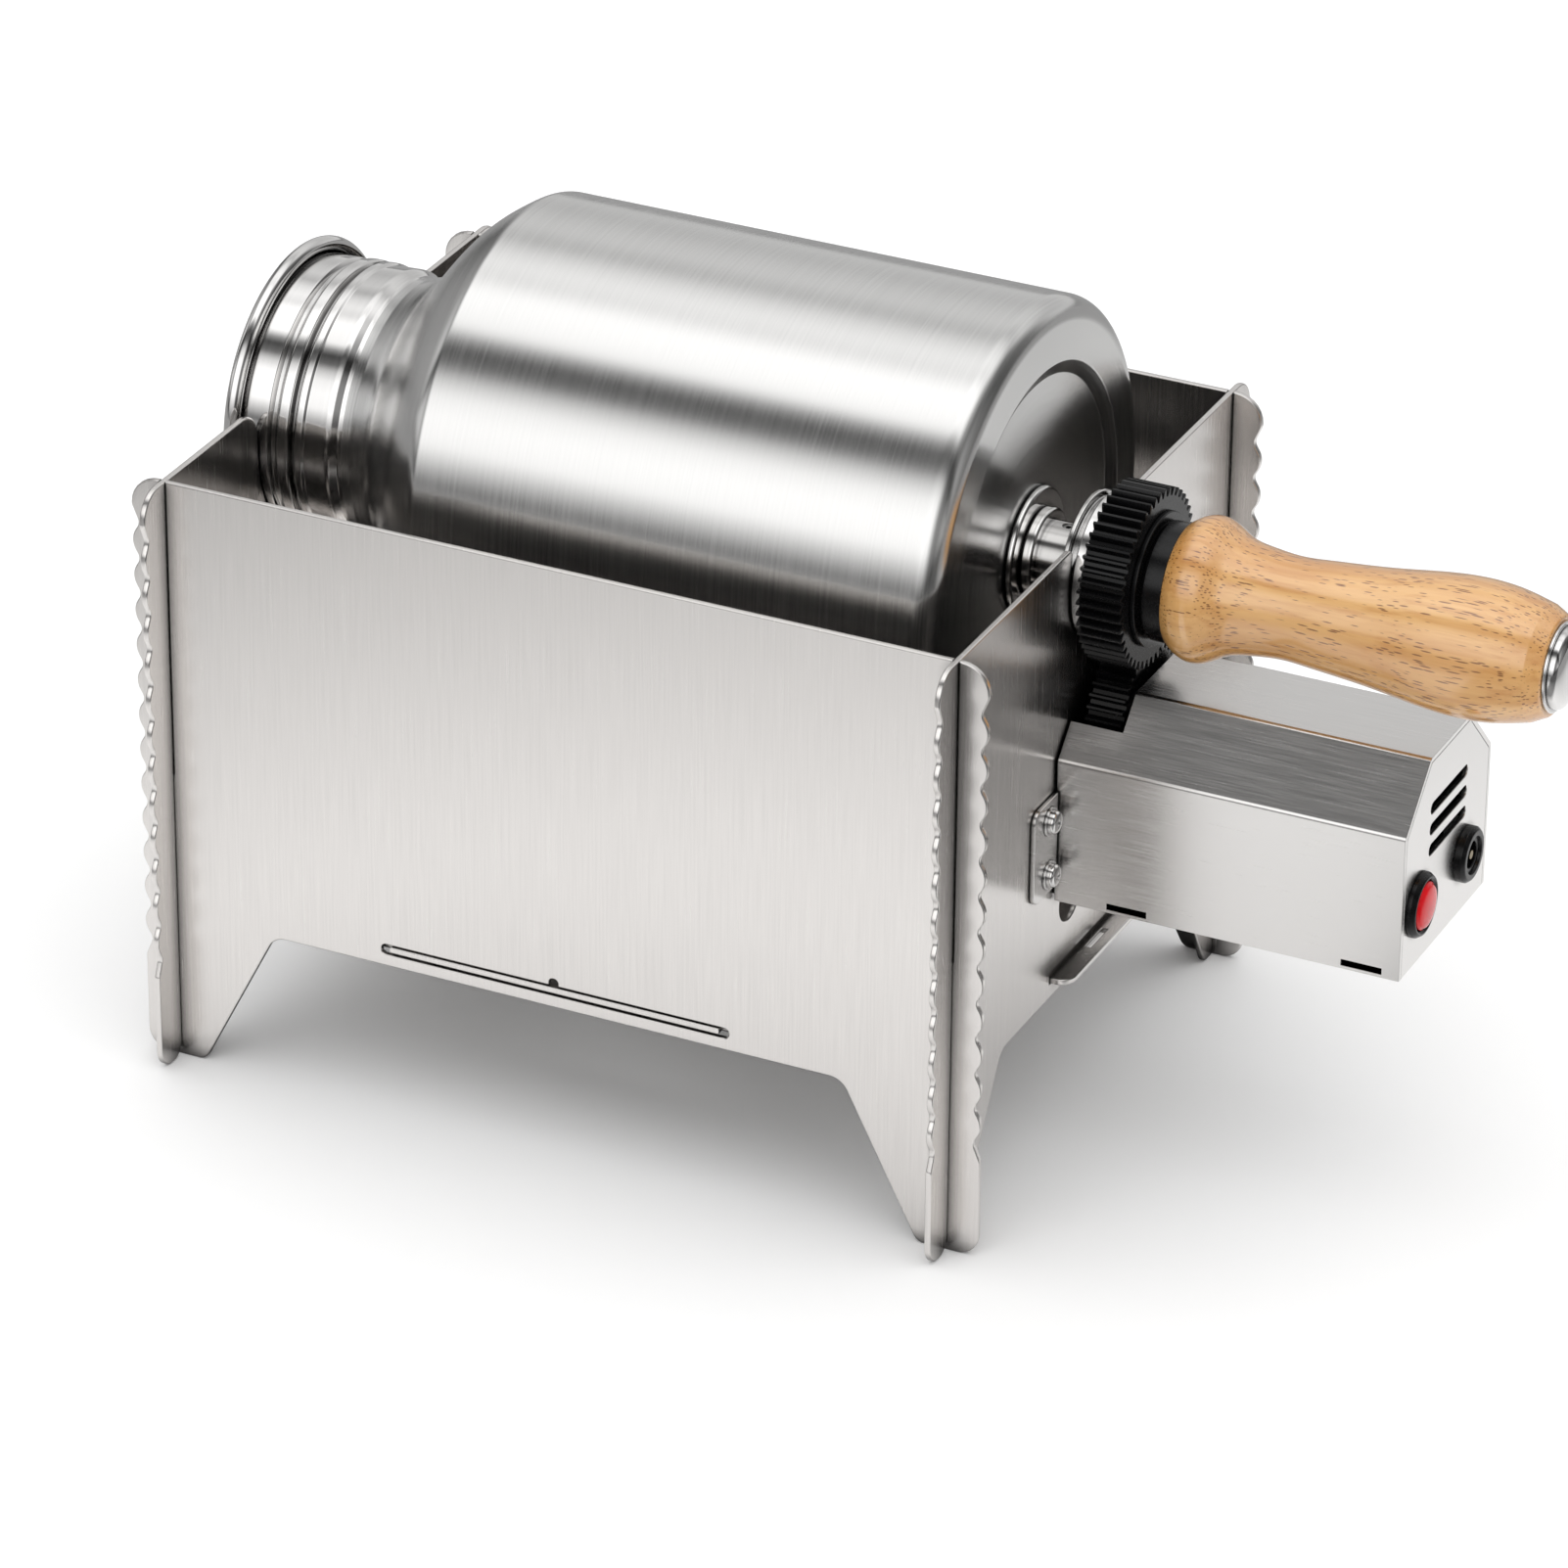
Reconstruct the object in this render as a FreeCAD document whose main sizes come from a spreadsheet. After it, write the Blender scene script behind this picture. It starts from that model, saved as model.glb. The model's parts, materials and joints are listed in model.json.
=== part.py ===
import FreeCAD, Part
import math
import os
import Sketcher
from types import SimpleNamespace
from FreeCAD import Placement, Rotation, Vector

# A drum coffee roaster that stands over a small burner: a frame of four halved steel
# panels, a steel drum that turns in two open notches, a handle, and a geared motor box.
# Sizes are millimetres. X runs along the drum axis towards the handle, Y away from the
# front panel and Z up. Places along X are worked out from the middle of the frame and
# every piece is then shifted so that the origin is under the middle of the whole part.
SIZES = {
    # frame panels
    "frame_length": 200.0,
    "frame_width": 154.0,
    "frame_height": 151.0,
    "sheet": 1.5,
    "slot_play": 0.3,
    "front_tab_reach": 8.3,
    "side_tab_reach": 10.4,
    "tab_top_radius": 7.0,
    "tab_foot_width": 3.0,
    "tab_foot_height": 6.0,
    "tab_foot_radius": 2.5,
    "scallop_foot": 29.7,
    "scallop_depth": 1.5,
    "scallop_lead": 0.55,
    "scallop_crest_radius": 5.0,
    "scallop_valley_radius": 2.0,
    "front_leg_foot": 7.0,
    "front_leg_top": 26.5,
    "side_leg_foot": 5.5,
    "side_leg_top": 27.5,
    "arch_drop": 3.7,
    "arch_foot_radius": 3.0,
    "arch_top_radius": 5.0,
    # burner shelf and its slots
    "shelf_drop": 98.0,
    "shelf_play": 0.25,
    "front_slot_margin": 55.0,
    "front_slot_drop": 1.1,
    "front_slot_height": 4.9,
    "front_tab_proud": 0.2,
    "side_slot_margin": 54.0,
    "side_slot_height": 2.8,
    "side_tongue_play": 0.5,
    "side_tongue_reach": 5.7,
    "tongue_radius": 4.0,
    "tongue_slit_half": 4.8,
    "tongue_slit_width": 1.2,
    "tongue_slit_place": 2.5,
    "burner_hole_radius": 50.0,
    "notch_mark_radius": 1.1,
    # drum
    "axis_drop": 11.3,
    "drum_radius": 59.4,
    "drum_wall": 1.0,
    "drum_corner": 5.5,
    "base_recess_radius": 41.6,
    "base_step_width": 3.2,
    "base_recess_depth": 1.8,
    "shoulder_length": 31.0,
    "shoulder_start_radius": 33.0,
    "neck_bore_radius": 32.1,
    "neck_groove_radius": 33.1,
    "neck_bead_radius": 34.3,
    "neck_plain_radius": 34.0,
    "neck_seat_radius": 33.9,
    "seat_outboard": 5.6,
    "seat_inboard": 2.8,
    "seat_groove_width": 2.7,
    "wide_bead_width": 2.8,
    "bead_groove_width": 1.9,
    "narrow_bead_width": 1.8,
    "bead_slope": 0.7,
    "neck_plain_length": 8.0,
    "neck_hollow_length": 4.0,
    "neck_lip": 1.0,
    "rim_radius": 37.6,
    "rim_bead": 1.9,
    "notch_gap": 0.3,
    "left_notch_corner": 6.5,
    "vane_height": 14.0,
    "vane_margin": 8.0,
    "vane_seat_gap": 0.1,
    # axle, bearing and their fastenings
    "bolt_radius": 4.0,
    "bolt_play": 0.2,
    "base_washer_radius": 15.5,
    "base_washer_thickness": 1.8,
    "base_ring_radius": 11.0,
    "base_ring_thickness": 2.8,
    "hub_radius": 8.4,
    "hub_free_length": 9.8,
    "spigot_radius": 6.0,
    "spigot_play": 0.05,
    "set_screw_radius": 1.5,
    "set_screw_place": 4.6,
    "set_screw_sink": 0.4,
    "bearing_radius": 17.5,
    "bearing_groove_depth": 1.7,
    "bearing_groove_width": 2.0,
    "bearing_inner_lip": 1.2,
    "bearing_outer_lip": 2.4,
    "bearing_bore_play": 0.05,
    "inner_ring_wall": 2.15,
    "outer_ring_bore_radius": 13.6,
    "ball_radius": 1.75,
    "race_gap": 0.1,
    "shield_thickness": 0.4,
    "shield_inset": 0.3,
    "shield_gap": 0.15,
    "right_notch_gap": 0.25,
    "right_notch_corner": 1.5,
    "inner_washer_radius": 10.0,
    "inner_washer_thickness": 2.0,
    "lock_nut_flats": 13.0,
    "lock_nut_height": 8.0,
    "bolt_tail": 2.0,
    # gears
    "gear_module": 0.85,
    "tooth_thinning": 0.12,
    "gear_start_gap": 0.5,
    "gear_width": 10.9,
    "gear_flange_radius": 15.9,
    "gear_flange_width": 1.2,
    "pinion_width": 9.0,
    "pinion_lead": 0.5,
    # handle
    "collar_radius": 14.0,
    "collar_length": 5.5,
    "handle_length": 90.5,
    "handle_radius": 17.1,
    "handle_bore_play": 0.3,
    "cap_washer_radius": 10.6,
    "cap_washer_thickness": 0.8,
    "bolt_head_radius": 9.6,
    "bolt_head_height": 3.2,
    "bolt_head_edge": 0.8,
    "socket_flats": 6.6,
    "socket_depth": 2.4,
    # motor cover
    "cover_sheet": 1.2,
    "cover_length": 85.75,
    "cover_centre": 3.5,
    "cover_half_width": 26.2,
    "cover_top_half": 12.3,
    "cover_above_motor": 11.18,
    "cover_height": 50.5,
    "cover_chamfer_height": 14.1,
    "gear_notch_length": 13.45,
    "gear_notch_depth": 7.1,
    "flange_width": 13.5,
    "flange_top_drop": 22.0,
    "flange_height": 24.0,
    "flange_screw_inset": 5.3,
    "flange_screw_margin": 5.05,
    "vent_half": 11.35,
    "vent_height": 3.0,
    "vent_centre": 3.85,
    "vent_top_drop": 13.8,
    "vent_pitch": 5.35,
    "floor_rise": 1.0,
    "floor_slot_length": 9.9,
    "floor_slot_play": 0.2,
    "floor_slot_start": 13.55,
    "floor_slot_margin": 4.3,
    # screws of the cover
    "screw_radius": 1.5,
    "screw_play": 0.15,
    "screw_head_radius": 2.8,
    "screw_head_height": 1.9,
    "screw_recess_width": 0.7,
    "screw_recess_length": 3.2,
    "screw_recess_depth": 1.0,
    "screw_length": 8.0,
    "lock_washer_radius": 3.5,
    "lock_washer_thickness": 0.6,
    "nut_flats": 5.5,
    "nut_height": 2.2,
    # air hole of the right panel
    "air_hole_radius": 5.75,
    "air_hole_offset": 12.5,
    "air_hole_rise": 18.0,
    # motor and its bracket
    "bracket_gap": 1.0,
    "bracket_sheet": 1.5,
    "bracket_half_width": 16.5,
    "bracket_foot_length": 12.0,
    "bracket_top_rise": 0.85,
    "bracket_screw_offset": 10.0,
    "small_head_height": 1.6,
    "small_head_radius": 2.6,
    "gearbox_radius": 16.5,
    "gearbox_length": 20.0,
    "gearbox_drop": 7.0,
    "gearbox_screw_offset": 13.5,
    "gearbox_screw_depth": 5.0,
    "boss_radius": 5.0,
    "boss_height": 1.5,
    "shaft_radius": 3.0,
    "shaft_running_gap": 0.05,
    "shaft_flat": 0.5,
    "shaft_depth": 12.0,
    "shaft_end_gap": 0.5,
    "motor_radius": 13.75,
    "motor_fitting_gap": 6.6,
    # power inlet
    "jack_side": 11.8,
    "jack_drop": 24.62,
    "jack_flange_radius": 6.75,
    "jack_flange_height": 2.7,
    "jack_barrel_radius": 5.5,
    "jack_barrel_length": 9.0,
    "jack_bore_radius": 3.15,
    "jack_bore_depth": 9.5,
    "jack_pin_radius": 1.05,
    "jack_pin_inset": 0.8,
    "jack_nut_flats": 14.0,
    "panel_nut_height": 2.4,
    # power button
    "button_side": 16.2,
    "button_drop": 24.12,
    "bezel_radius": 7.8,
    "bezel_height": 2.1,
    "button_barrel_radius": 6.9,
    "button_barrel_length": 10.0,
    "button_bore_depth": 9.0,
    "button_cap_radius": 5.7,
    "button_cap_gap": 0.3,
    "button_cap_height": 2.4,
    "button_dome_height": 0.8,
    "button_cap_depth": 5.0,
    "button_nut_flats": 14.6,
    # wires inside the motor box
    "wire_radius": 0.7,
    "wire_bend": 1.6,
    "motor_terminal_offset": 6.0,
    "terminal_offset": 2.2,
    # how far every cut runs past the face that it opens
    "overrun": 1.0,
}

DRUM_TEETH = 48
PINION_TEETH = 38
PRESSURE_ANGLE = 20
SCALLOPS = 12
BALLS = 9
VANES = 3
VENTS = 3

# shares of the shoulder's length and rise that its curve passes through
SHOULDER_SHARES = (
    (0.0, 0.0),
    (0.177, 0.07),
    (0.306, 0.22),
    (0.419, 0.40),
    (0.535, 0.576),
    (0.648, 0.727),
    (0.768, 0.848),
    (0.884, 0.943),
    (1.0, 1.0),
)
# shares of the handle's length and greatest radius, from the collar to its bevelled end
HANDLE_SHARES = (
    (0.0, 0.85),
    (0.03, 0.96),
    (0.07, 1.0),
    (0.15, 0.81),
    (0.21, 0.74),
    (0.29, 0.70),
    (0.37, 0.725),
    (0.54, 0.81),
    (0.735, 0.935),
    (0.87, 0.905),
    (0.96, 0.795),
)
HANDLE_END_SHARE = 0.68
# how far up a tooth's flank the middle of its curve lies
FLANK_MIDDLE_SHARE = 0.5
# the depth of a tooth below the pitch circle, as a share of the module
DEDENDUM_SHARE = 1.25
# how far up the bolt's domed head its bend lies
DOME_SHARE = 0.7
SQUARE_ROOT_OF_THREE = math.sqrt(3)
SAME_PLACE = 1e-6

doc = FreeCAD.newDocument("drum_coffee_roaster")


class Term:
    """A size or a sum of sizes: its value, and the expression that binds to the sheet."""

    def __init__(self, value, text):
        self.value = value
        self.text = text

    def __add__(self, other):
        other = term(other)
        return Term(self.value + other.value, f"({self.text} + {other.text})")

    def __sub__(self, other):
        other = term(other)
        return Term(self.value - other.value, f"({self.text} - {other.text})")

    def __mul__(self, other):
        other = term(other)
        return Term(self.value * other.value, f"({self.text} * {other.text})")

    def __truediv__(self, other):
        other = term(other)
        return Term(self.value / other.value, f"({self.text} / {other.text})")

    def __rmul__(self, other):
        return term(other) * self

    def __neg__(self):
        return term(0) - self


def term(item):
    return item if isinstance(item, Term) else Term(item, repr(item))


def number(item):
    return term(item).value


def root(item):
    return Term(math.sqrt(item.value), f"sqrt({item.text})")


def larger(one, other):
    return Term(max(one.value, other.value), f"max({one.text}; {other.text})")


def make_sheet():
    """Writes every size into the sheet and gives it back as a term of its name."""
    sheet = doc.addObject("Spreadsheet::Sheet", "Sizes")
    for row, (name, value) in enumerate(SIZES.items(), start=1):
        sheet.set(f"A{row}", str(value))
        sheet.setAlias(f"A{row}", name)
    doc.recompute()
    return SimpleNamespace(**{name: Term(float(sheet.get(name)), f"Sizes.{name}") for name in SIZES})


size = make_sheet()
none = term(0)


def derived_places():
    """Places that several pieces share, worked out once."""
    place = SimpleNamespace()
    place.half_length = size.frame_length / 2
    place.half_width = size.frame_width / 2
    place.axis_height = size.frame_height - size.axis_drop
    place.shelf_base = place.axis_height - size.shelf_drop
    place.arch_height = place.shelf_base - size.arch_drop
    place.front_slot_base = place.shelf_base - size.front_slot_drop
    place.front_slot_half = place.half_length - size.front_slot_margin
    place.side_slot_half = place.half_width - size.side_slot_margin
    place.scallop_lead = size.tab_top_radius + size.scallop_lead
    scalloped = size.frame_height - place.scallop_lead - size.scallop_foot
    place.scallop_pitch = scalloped / (SCALLOPS + 0.5)
    place.right_face = place.half_length + size.sheet / 2
    place.right_inside = place.half_length - size.sheet / 2
    place.bearing_start = place.half_length - size.bearing_groove_width / 2 - size.bearing_inner_lip
    place.bearing_end = place.half_length + size.bearing_groove_width / 2 + size.bearing_outer_lip
    place.bearing_middle = (place.bearing_start + place.bearing_end) / 2
    place.hub_start = place.bearing_start - size.hub_free_length
    place.ring_start = place.hub_start - size.base_ring_thickness
    place.base = place.ring_start - size.base_washer_thickness
    place.base_edge = place.base + size.base_recess_depth
    place.base_inside = place.base - size.drum_wall
    place.gear_start = place.bearing_end + size.gear_start_gap
    place.flange_start = place.gear_start + size.gear_width
    place.collar_start = place.flange_start + size.gear_flange_width
    place.handle_start = place.collar_start + size.collar_length
    place.handle_end = place.handle_start + size.handle_length
    place.head_start = place.handle_end + size.cap_washer_thickness
    place.head_end = place.head_start + size.bolt_head_height
    place.nut_start = place.base_inside - size.inner_washer_thickness - size.lock_nut_height
    place.bolt_start = place.nut_start - size.bolt_tail
    place.seat_start = -place.half_length - size.seat_outboard
    place.seat_end = size.seat_inboard - place.half_length
    place.bead_start = place.seat_end + size.seat_groove_width
    place.bead_end = place.bead_start + size.wide_bead_width
    place.thin_start = place.bead_end + size.bead_groove_width
    place.thin_end = place.thin_start + size.narrow_bead_width
    place.hollow_start = place.thin_end + size.neck_plain_length
    place.neck_end = place.hollow_start + size.bead_slope + size.neck_lip
    place.shoulder_start = place.hollow_start + size.neck_hollow_length
    place.shoulder_end = place.shoulder_start + size.shoulder_length
    place.bolt_bore = size.bolt_radius + size.bolt_play
    place.groove_radius = size.bearing_radius - size.bearing_groove_depth
    place.bearing_bore = size.hub_radius + size.bearing_bore_play
    centres = size.gear_module * ((DRUM_TEETH + PINION_TEETH) / 2)
    place.motor_y = size.cover_centre
    place.motor_drop = root(centres * centres - place.motor_y * place.motor_y)
    place.motor_height = place.axis_height - place.motor_drop
    place.pinion_start = place.gear_start - size.pinion_lead
    place.pinion_end = place.pinion_start + size.pinion_width
    place.cover_end = place.right_face + size.cover_length
    place.cover_inside = place.cover_end - size.cover_sheet
    place.cover_top = place.motor_height + size.cover_above_motor
    place.cover_base = place.cover_top - size.cover_height
    place.floor_base = place.cover_base + size.floor_rise
    place.floor_top = place.floor_base + size.cover_sheet
    place.flange_face = place.right_face + size.cover_sheet
    place.bracket_start = place.right_face + size.gear_notch_length + size.bracket_gap
    place.gearbox_start = place.bracket_start + size.bracket_sheet
    place.gearbox_end = place.gearbox_start + size.gearbox_length
    fitting_end = place.cover_inside - size.button_barrel_length
    place.motor_end = fitting_end - size.motor_fitting_gap
    place.motor_length = place.motor_end - place.gearbox_end
    place.gearbox_height = place.motor_height - size.gearbox_drop
    place.jack_y = size.cover_centre + size.jack_side
    place.jack_height = place.motor_height - size.jack_drop
    place.button_y = size.cover_centre - size.button_side
    place.button_height = place.motor_height - size.button_drop
    place.screw_bore = size.screw_radius + size.screw_play
    front_tab = place.half_length + size.front_tab_reach
    rim_edge = size.rim_bead - place.seat_start
    place.shift = (larger(front_tab, rim_edge) - place.head_end) / 2
    return place


place = derived_places()
nodes = []


def keep(piece, name):
    piece.Label = name
    nodes.append(piece)
    return piece


def put(piece, across=none, back=none, up=none):
    """Binds a piece's place to the sheet; the shift centres the whole part."""
    piece.setExpression("Placement.Base.x", (across + place.shift).text)
    piece.setExpression("Placement.Base.y", term(back).text)
    piece.setExpression("Placement.Base.z", term(up).text)
    return piece


# Sketches: every corner, centre and radius is bound to the sheet.


def pin_point(sketch, item, end, across, up):
    for kind, value in (("DistanceX", term(across)), ("DistanceY", term(up))):
        if value.text == none.text:
            axis = -2 if kind == "DistanceX" else -1
            sketch.addConstraint(Sketcher.Constraint("PointOnObject", item, end, axis))
        else:
            index = sketch.addConstraint(Sketcher.Constraint(kind, -1, 1, item, end, value.value))
            sketch.setExpression(f"Constraints[{index}]", value.text)


def draw_polygon(sketch, corners):
    flat = [Vector(number(across), number(up), 0) for across, up in corners]
    first = sketch.GeometryCount
    count = len(corners)
    for index in range(count):
        sketch.addGeometry(Part.LineSegment(flat[index], flat[(index + 1) % count]))
    for index in range(count):
        follower = first + (index + 1) % count
        sketch.addConstraint(Sketcher.Constraint("Coincident", first + index, 2, follower, 1))
    for index, (across, up) in enumerate(corners):
        pin_point(sketch, first + index, 1, across, up)


def draw_circle(sketch, across, up, radius):
    centre = Vector(number(across), number(up), 0)
    item = sketch.addGeometry(Part.Circle(centre, Vector(0, 0, 1), radius.value))
    pin_point(sketch, item, 3, across, up)
    index = sketch.addConstraint(Sketcher.Constraint("Radius", item, radius.value))
    sketch.setExpression(f"Constraints[{index}]", radius.text)


def draw_slot(sketch, across, up, half, radius):
    """A level slot with round ends, half long each way, its ends included."""
    ends = []
    for side in (-1, 1):
        middle = across + side * (half - radius)
        centre = Vector(middle.value, number(up), 0)
        turn = math.pi / 2
        start = turn if side < 0 else -turn
        circle = Part.Circle(centre, Vector(0, 0, 1), radius.value)
        item = sketch.addGeometry(Part.ArcOfCircle(circle, start, start + math.pi))
        pin_point(sketch, item, 3, middle, up)
        index = sketch.addConstraint(Sketcher.Constraint("Radius", item, radius.value))
        sketch.setExpression(f"Constraints[{index}]", radius.text)
        for end in (1, 2):
            sketch.addConstraint(Sketcher.Constraint("Vertical", item, end, item, 3))
        ends.append(item)
    left, right = ends
    for start, finish in (((left, 2), (right, 1)), ((right, 2), (left, 1))):
        from_point = sketch.getPoint(*start)
        to_point = sketch.getPoint(*finish)
        line = sketch.addGeometry(Part.LineSegment(from_point, to_point))
        sketch.addConstraint(Sketcher.Constraint("Coincident", line, 1, *start))
        sketch.addConstraint(Sketcher.Constraint("Coincident", line, 2, *finish))


def new_sketch(body, role, offset=none):
    sketch = body.newObject("Sketcher::SketchObject", "Sketch")
    plane = next(item for item in body.Origin.OriginFeatures if item.Role == role)
    sketch.AttachmentSupport = [(plane, "")]
    sketch.MapMode = "FlatFace"
    if term(offset).text != none.text:
        sketch.setExpression("AttachmentOffset.Base.z", offset.text)
    return sketch


def revolve(name, corners, across=none, back=none, up=place.axis_height):
    """A turned piece: its half section, as places along the axis and radii."""
    body = doc.addObject("PartDesign::Body", "Body")
    sketch = new_sketch(body, "XZ_Plane")
    draw_polygon(sketch, corners)
    turned = body.newObject("PartDesign::Revolution", "Revolution")
    turned.Profile = sketch
    turned.ReferenceAxis = (sketch, ["H_Axis"])
    turned.Angle = 360
    sketch.Visibility = False
    body.Tip = turned
    put(body, across, back, up)
    return keep(body, name)


def ring(name, start, length, outer, inner, up=place.axis_height, back=none):
    corners = [(none, inner), (length, inner), (length, outer), (none, outer)]
    return revolve(name, corners, across=start, back=back, up=up)


def add_step(body, role, kind, loops, start, depth):
    """One pad or pocket that runs from its start along the plane's normal."""
    sketch = new_sketch(body, role, start)
    for shape, *values in loops:
        shape(sketch, *values)
    feature = body.newObject(f"PartDesign::{kind}", kind)
    feature.Profile = sketch
    feature.setExpression("Length", depth.text)
    feature.Reversed = kind == "Pocket"
    sketch.Visibility = False
    body.Tip = feature
    return feature


def extrude(name, role, steps, across=none, back=none, up=none):
    body = doc.addObject("PartDesign::Body", "Body")
    for kind, loops, start, depth in steps:
        add_step(body, role, kind, loops, start, depth)
    put(body, across, back, up)
    return keep(body, name)


def polygon(*corners):
    return (draw_polygon, corners)


def box_loop(left, right, low, high):
    return polygon((left, low), (right, low), (right, high), (left, high))


def circle(across, up, radius):
    return (draw_circle, across, up, radius)


def hexagon(across, up, flats):
    """A hexagon with two level corners, given across its flats."""
    corner = flats / SQUARE_ROOT_OF_THREE
    rise = flats / 2
    return polygon(
        (across + corner, up),
        (across + corner / 2, up + rise),
        (across - corner / 2, up + rise),
        (across - corner, up),
        (across - corner / 2, up - rise),
        (across + corner / 2, up - rise),
    )


# Sheets with many rounded corners are drawn as wires.


def rounded_wire(corners):
    """A closed wire through corners (across, up, radius), each rounded by its radius."""
    flat = [(Vector(number(x), number(y), 0), number(radius)) for x, y, radius in corners]
    edges = []
    last = None
    first = None
    for index, (corner, radius) in enumerate(flat):
        before = (flat[index - 1][0] - corner).normalize()
        after = (flat[(index + 1) % len(flat)][0] - corner).normalize()
        half = before.getAngle(after) / 2
        trim = radius / math.tan(half) if radius else 0
        start = corner + before * trim
        end = corner + after * trim
        if last is not None and last.distanceToPoint(start) > SAME_PLACE:
            edges.append(Part.LineSegment(last, start).toShape())
        if radius:
            middle = (before + after).normalize()
            deepest = corner + middle * (radius / math.sin(half) - radius)
            edges.append(Part.Arc(start, deepest, end).toShape())
        first = first or start
        last = end
    edges.append(Part.LineSegment(last, first).toShape())
    return Part.Wire(edges)


def slab(outline, holes, thickness):
    face = Part.Face([outline, *holes]) if holes else Part.Face(outline)
    face.validate()
    return face.extrude(Vector(0, 0, number(thickness)))


def round_hole(across, up, radius):
    loop = Part.Circle(Vector(number(across), number(up), 0), Vector(0, 0, 1), number(radius))
    return Part.Wire(loop.toShape())


def flat_box(left, right, low, high, thickness):
    """A cutting block for a sheet, running past both of its faces."""
    depth = number(thickness) + 2 * size.overrun.value
    block = Part.makeBox(number(right - left), number(high - low), depth)
    block.translate(Vector(number(left), number(low), -size.overrun.value))
    return block


def half_outline(reach, tab_reach, leg_foot, leg_top):
    """The right half of a panel's outline, from the middle of its top to its arch."""
    edge = reach + tab_reach
    swing = place.scallop_pitch / 2
    half_turn = math.atan2(number(size.scallop_depth), number(swing))
    rounding = 1 / math.cos(half_turn) - 1
    crest = edge + size.scallop_crest_radius * rounding
    valley = edge - size.scallop_depth - size.scallop_valley_radius * rounding
    first = size.frame_height - place.scallop_lead - swing
    points = [(edge, size.frame_height, size.tab_top_radius)]
    points.append((edge, first + swing, size.scallop_valley_radius))
    for index in range(SCALLOPS):
        up = first - index * place.scallop_pitch
        points.append((valley, up, size.scallop_valley_radius))
        points.append((crest, up - swing, size.scallop_crest_radius))
    last = first - SCALLOPS * place.scallop_pitch
    points.append((valley, last, size.scallop_valley_radius))
    points.append((edge, last - swing, size.scallop_valley_radius))
    points.append((edge, size.tab_foot_height, size.tab_foot_radius))
    points.append((edge - size.tab_foot_width, none, size.tab_foot_radius))
    points.append((reach - leg_foot, none, size.arch_foot_radius))
    points.append((reach - leg_top, place.arch_height, size.arch_top_radius))
    return points


def panel_outline(reach, tab_reach, leg_foot, leg_top, notch):
    """The whole outline; notch lists the corners of an open notch in the top edge."""
    right = half_outline(reach, tab_reach, leg_foot, leg_top)
    left = [(-across, up, radius) for across, up, radius in reversed(right)]
    return rounded_wire(right + left + notch)


def sheet_piece(name, solid, turn, across, back, up):
    piece = doc.addObject("Part::Feature", "Sheet")
    piece.Shape = solid
    piece.Placement = Placement(Vector(), turn)
    put(piece, across, back, up)
    return keep(piece, name)


UPRIGHT_ALONG_X = Rotation(Vector(1, 0, 0), 90)
UPRIGHT_ALONG_Y = Rotation(Vector(1, 1, 1), 120)


def corner_slots(reach, low, high):
    width = size.sheet + size.slot_play
    cuts = []
    for side in (-1, 1):
        middle = side * reach
        cuts.append(flat_box(middle - width / 2, middle + width / 2, low, high, size.sheet))
    return cuts


def long_panel(name, side):
    """The front or back panel: slotted from above at both ends, and for the shelf."""
    outline = panel_outline(
        place.half_length, size.front_tab_reach, size.front_leg_foot, size.front_leg_top, []
    )
    middle = place.front_slot_base + size.front_slot_height / 2
    radius = size.front_slot_height / 2
    top = place.front_slot_base + size.front_slot_height
    half = place.front_slot_half
    slot = rounded_wire(
        [
            (half, place.front_slot_base, radius),
            (half, top, radius),
            (-half, top, radius),
            (-half, place.front_slot_base, radius),
        ]
    )
    solid = slab(outline, [slot], size.sheet)
    mark = slab(round_hole(none, top, size.notch_mark_radius), [], size.sheet + size.overrun)
    cuts = corner_slots(place.half_length, size.frame_height / 2, size.frame_height + size.overrun)
    solid = solid.cut(cuts + [mark])
    back = side * place.half_width + size.sheet / 2
    sheet_piece(name, solid, UPRIGHT_ALONG_X, none, back, none)


def left_panel():
    """The panel at the mouth of the drum, with the notch that its neck turns in."""
    radius = size.neck_seat_radius + size.notch_gap
    notch = [
        (-radius, size.frame_height, size.left_notch_corner),
        (-radius, place.axis_height - radius, radius),
        (radius, place.axis_height - radius, radius),
        (radius, size.frame_height, size.left_notch_corner),
    ]
    short_panel("left_panel", -1, notch, [])


def right_panel():
    """The panel at the motor, with the bearing's notch, screw holes and an air hole."""
    radius = place.groove_radius + size.right_notch_gap
    notch = [
        (-radius, size.frame_height, size.right_notch_corner),
        (-radius, place.axis_height - radius, radius),
        (radius, place.axis_height - radius, radius),
        (radius, size.frame_height, size.right_notch_corner),
    ]
    holes = [round_hole(back, up, place.screw_bore) for back, up in cover_screw_places()]
    up = place.shelf_base + size.air_hole_rise
    holes.append(round_hole(-size.air_hole_offset, up, size.air_hole_radius))
    short_panel("right_panel", 1, notch, holes)


def short_panel(name, side, notch, holes):
    outline = panel_outline(
        place.half_width, size.side_tab_reach, size.side_leg_foot, size.side_leg_top, notch
    )
    low = place.shelf_base
    high = place.shelf_base + size.side_slot_height
    half = place.side_slot_half
    slot = rounded_wire([(half, low, 0), (half, high, 0), (-half, high, 0), (-half, low, 0)])
    solid = slab(outline, [slot, *holes], size.sheet)
    solid = solid.cut(corner_slots(place.half_width, -size.overrun, size.frame_height / 2))
    across = side * place.half_length - size.sheet / 2
    sheet_piece(name, solid, UPRIGHT_ALONG_Y, across, none, none)


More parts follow.
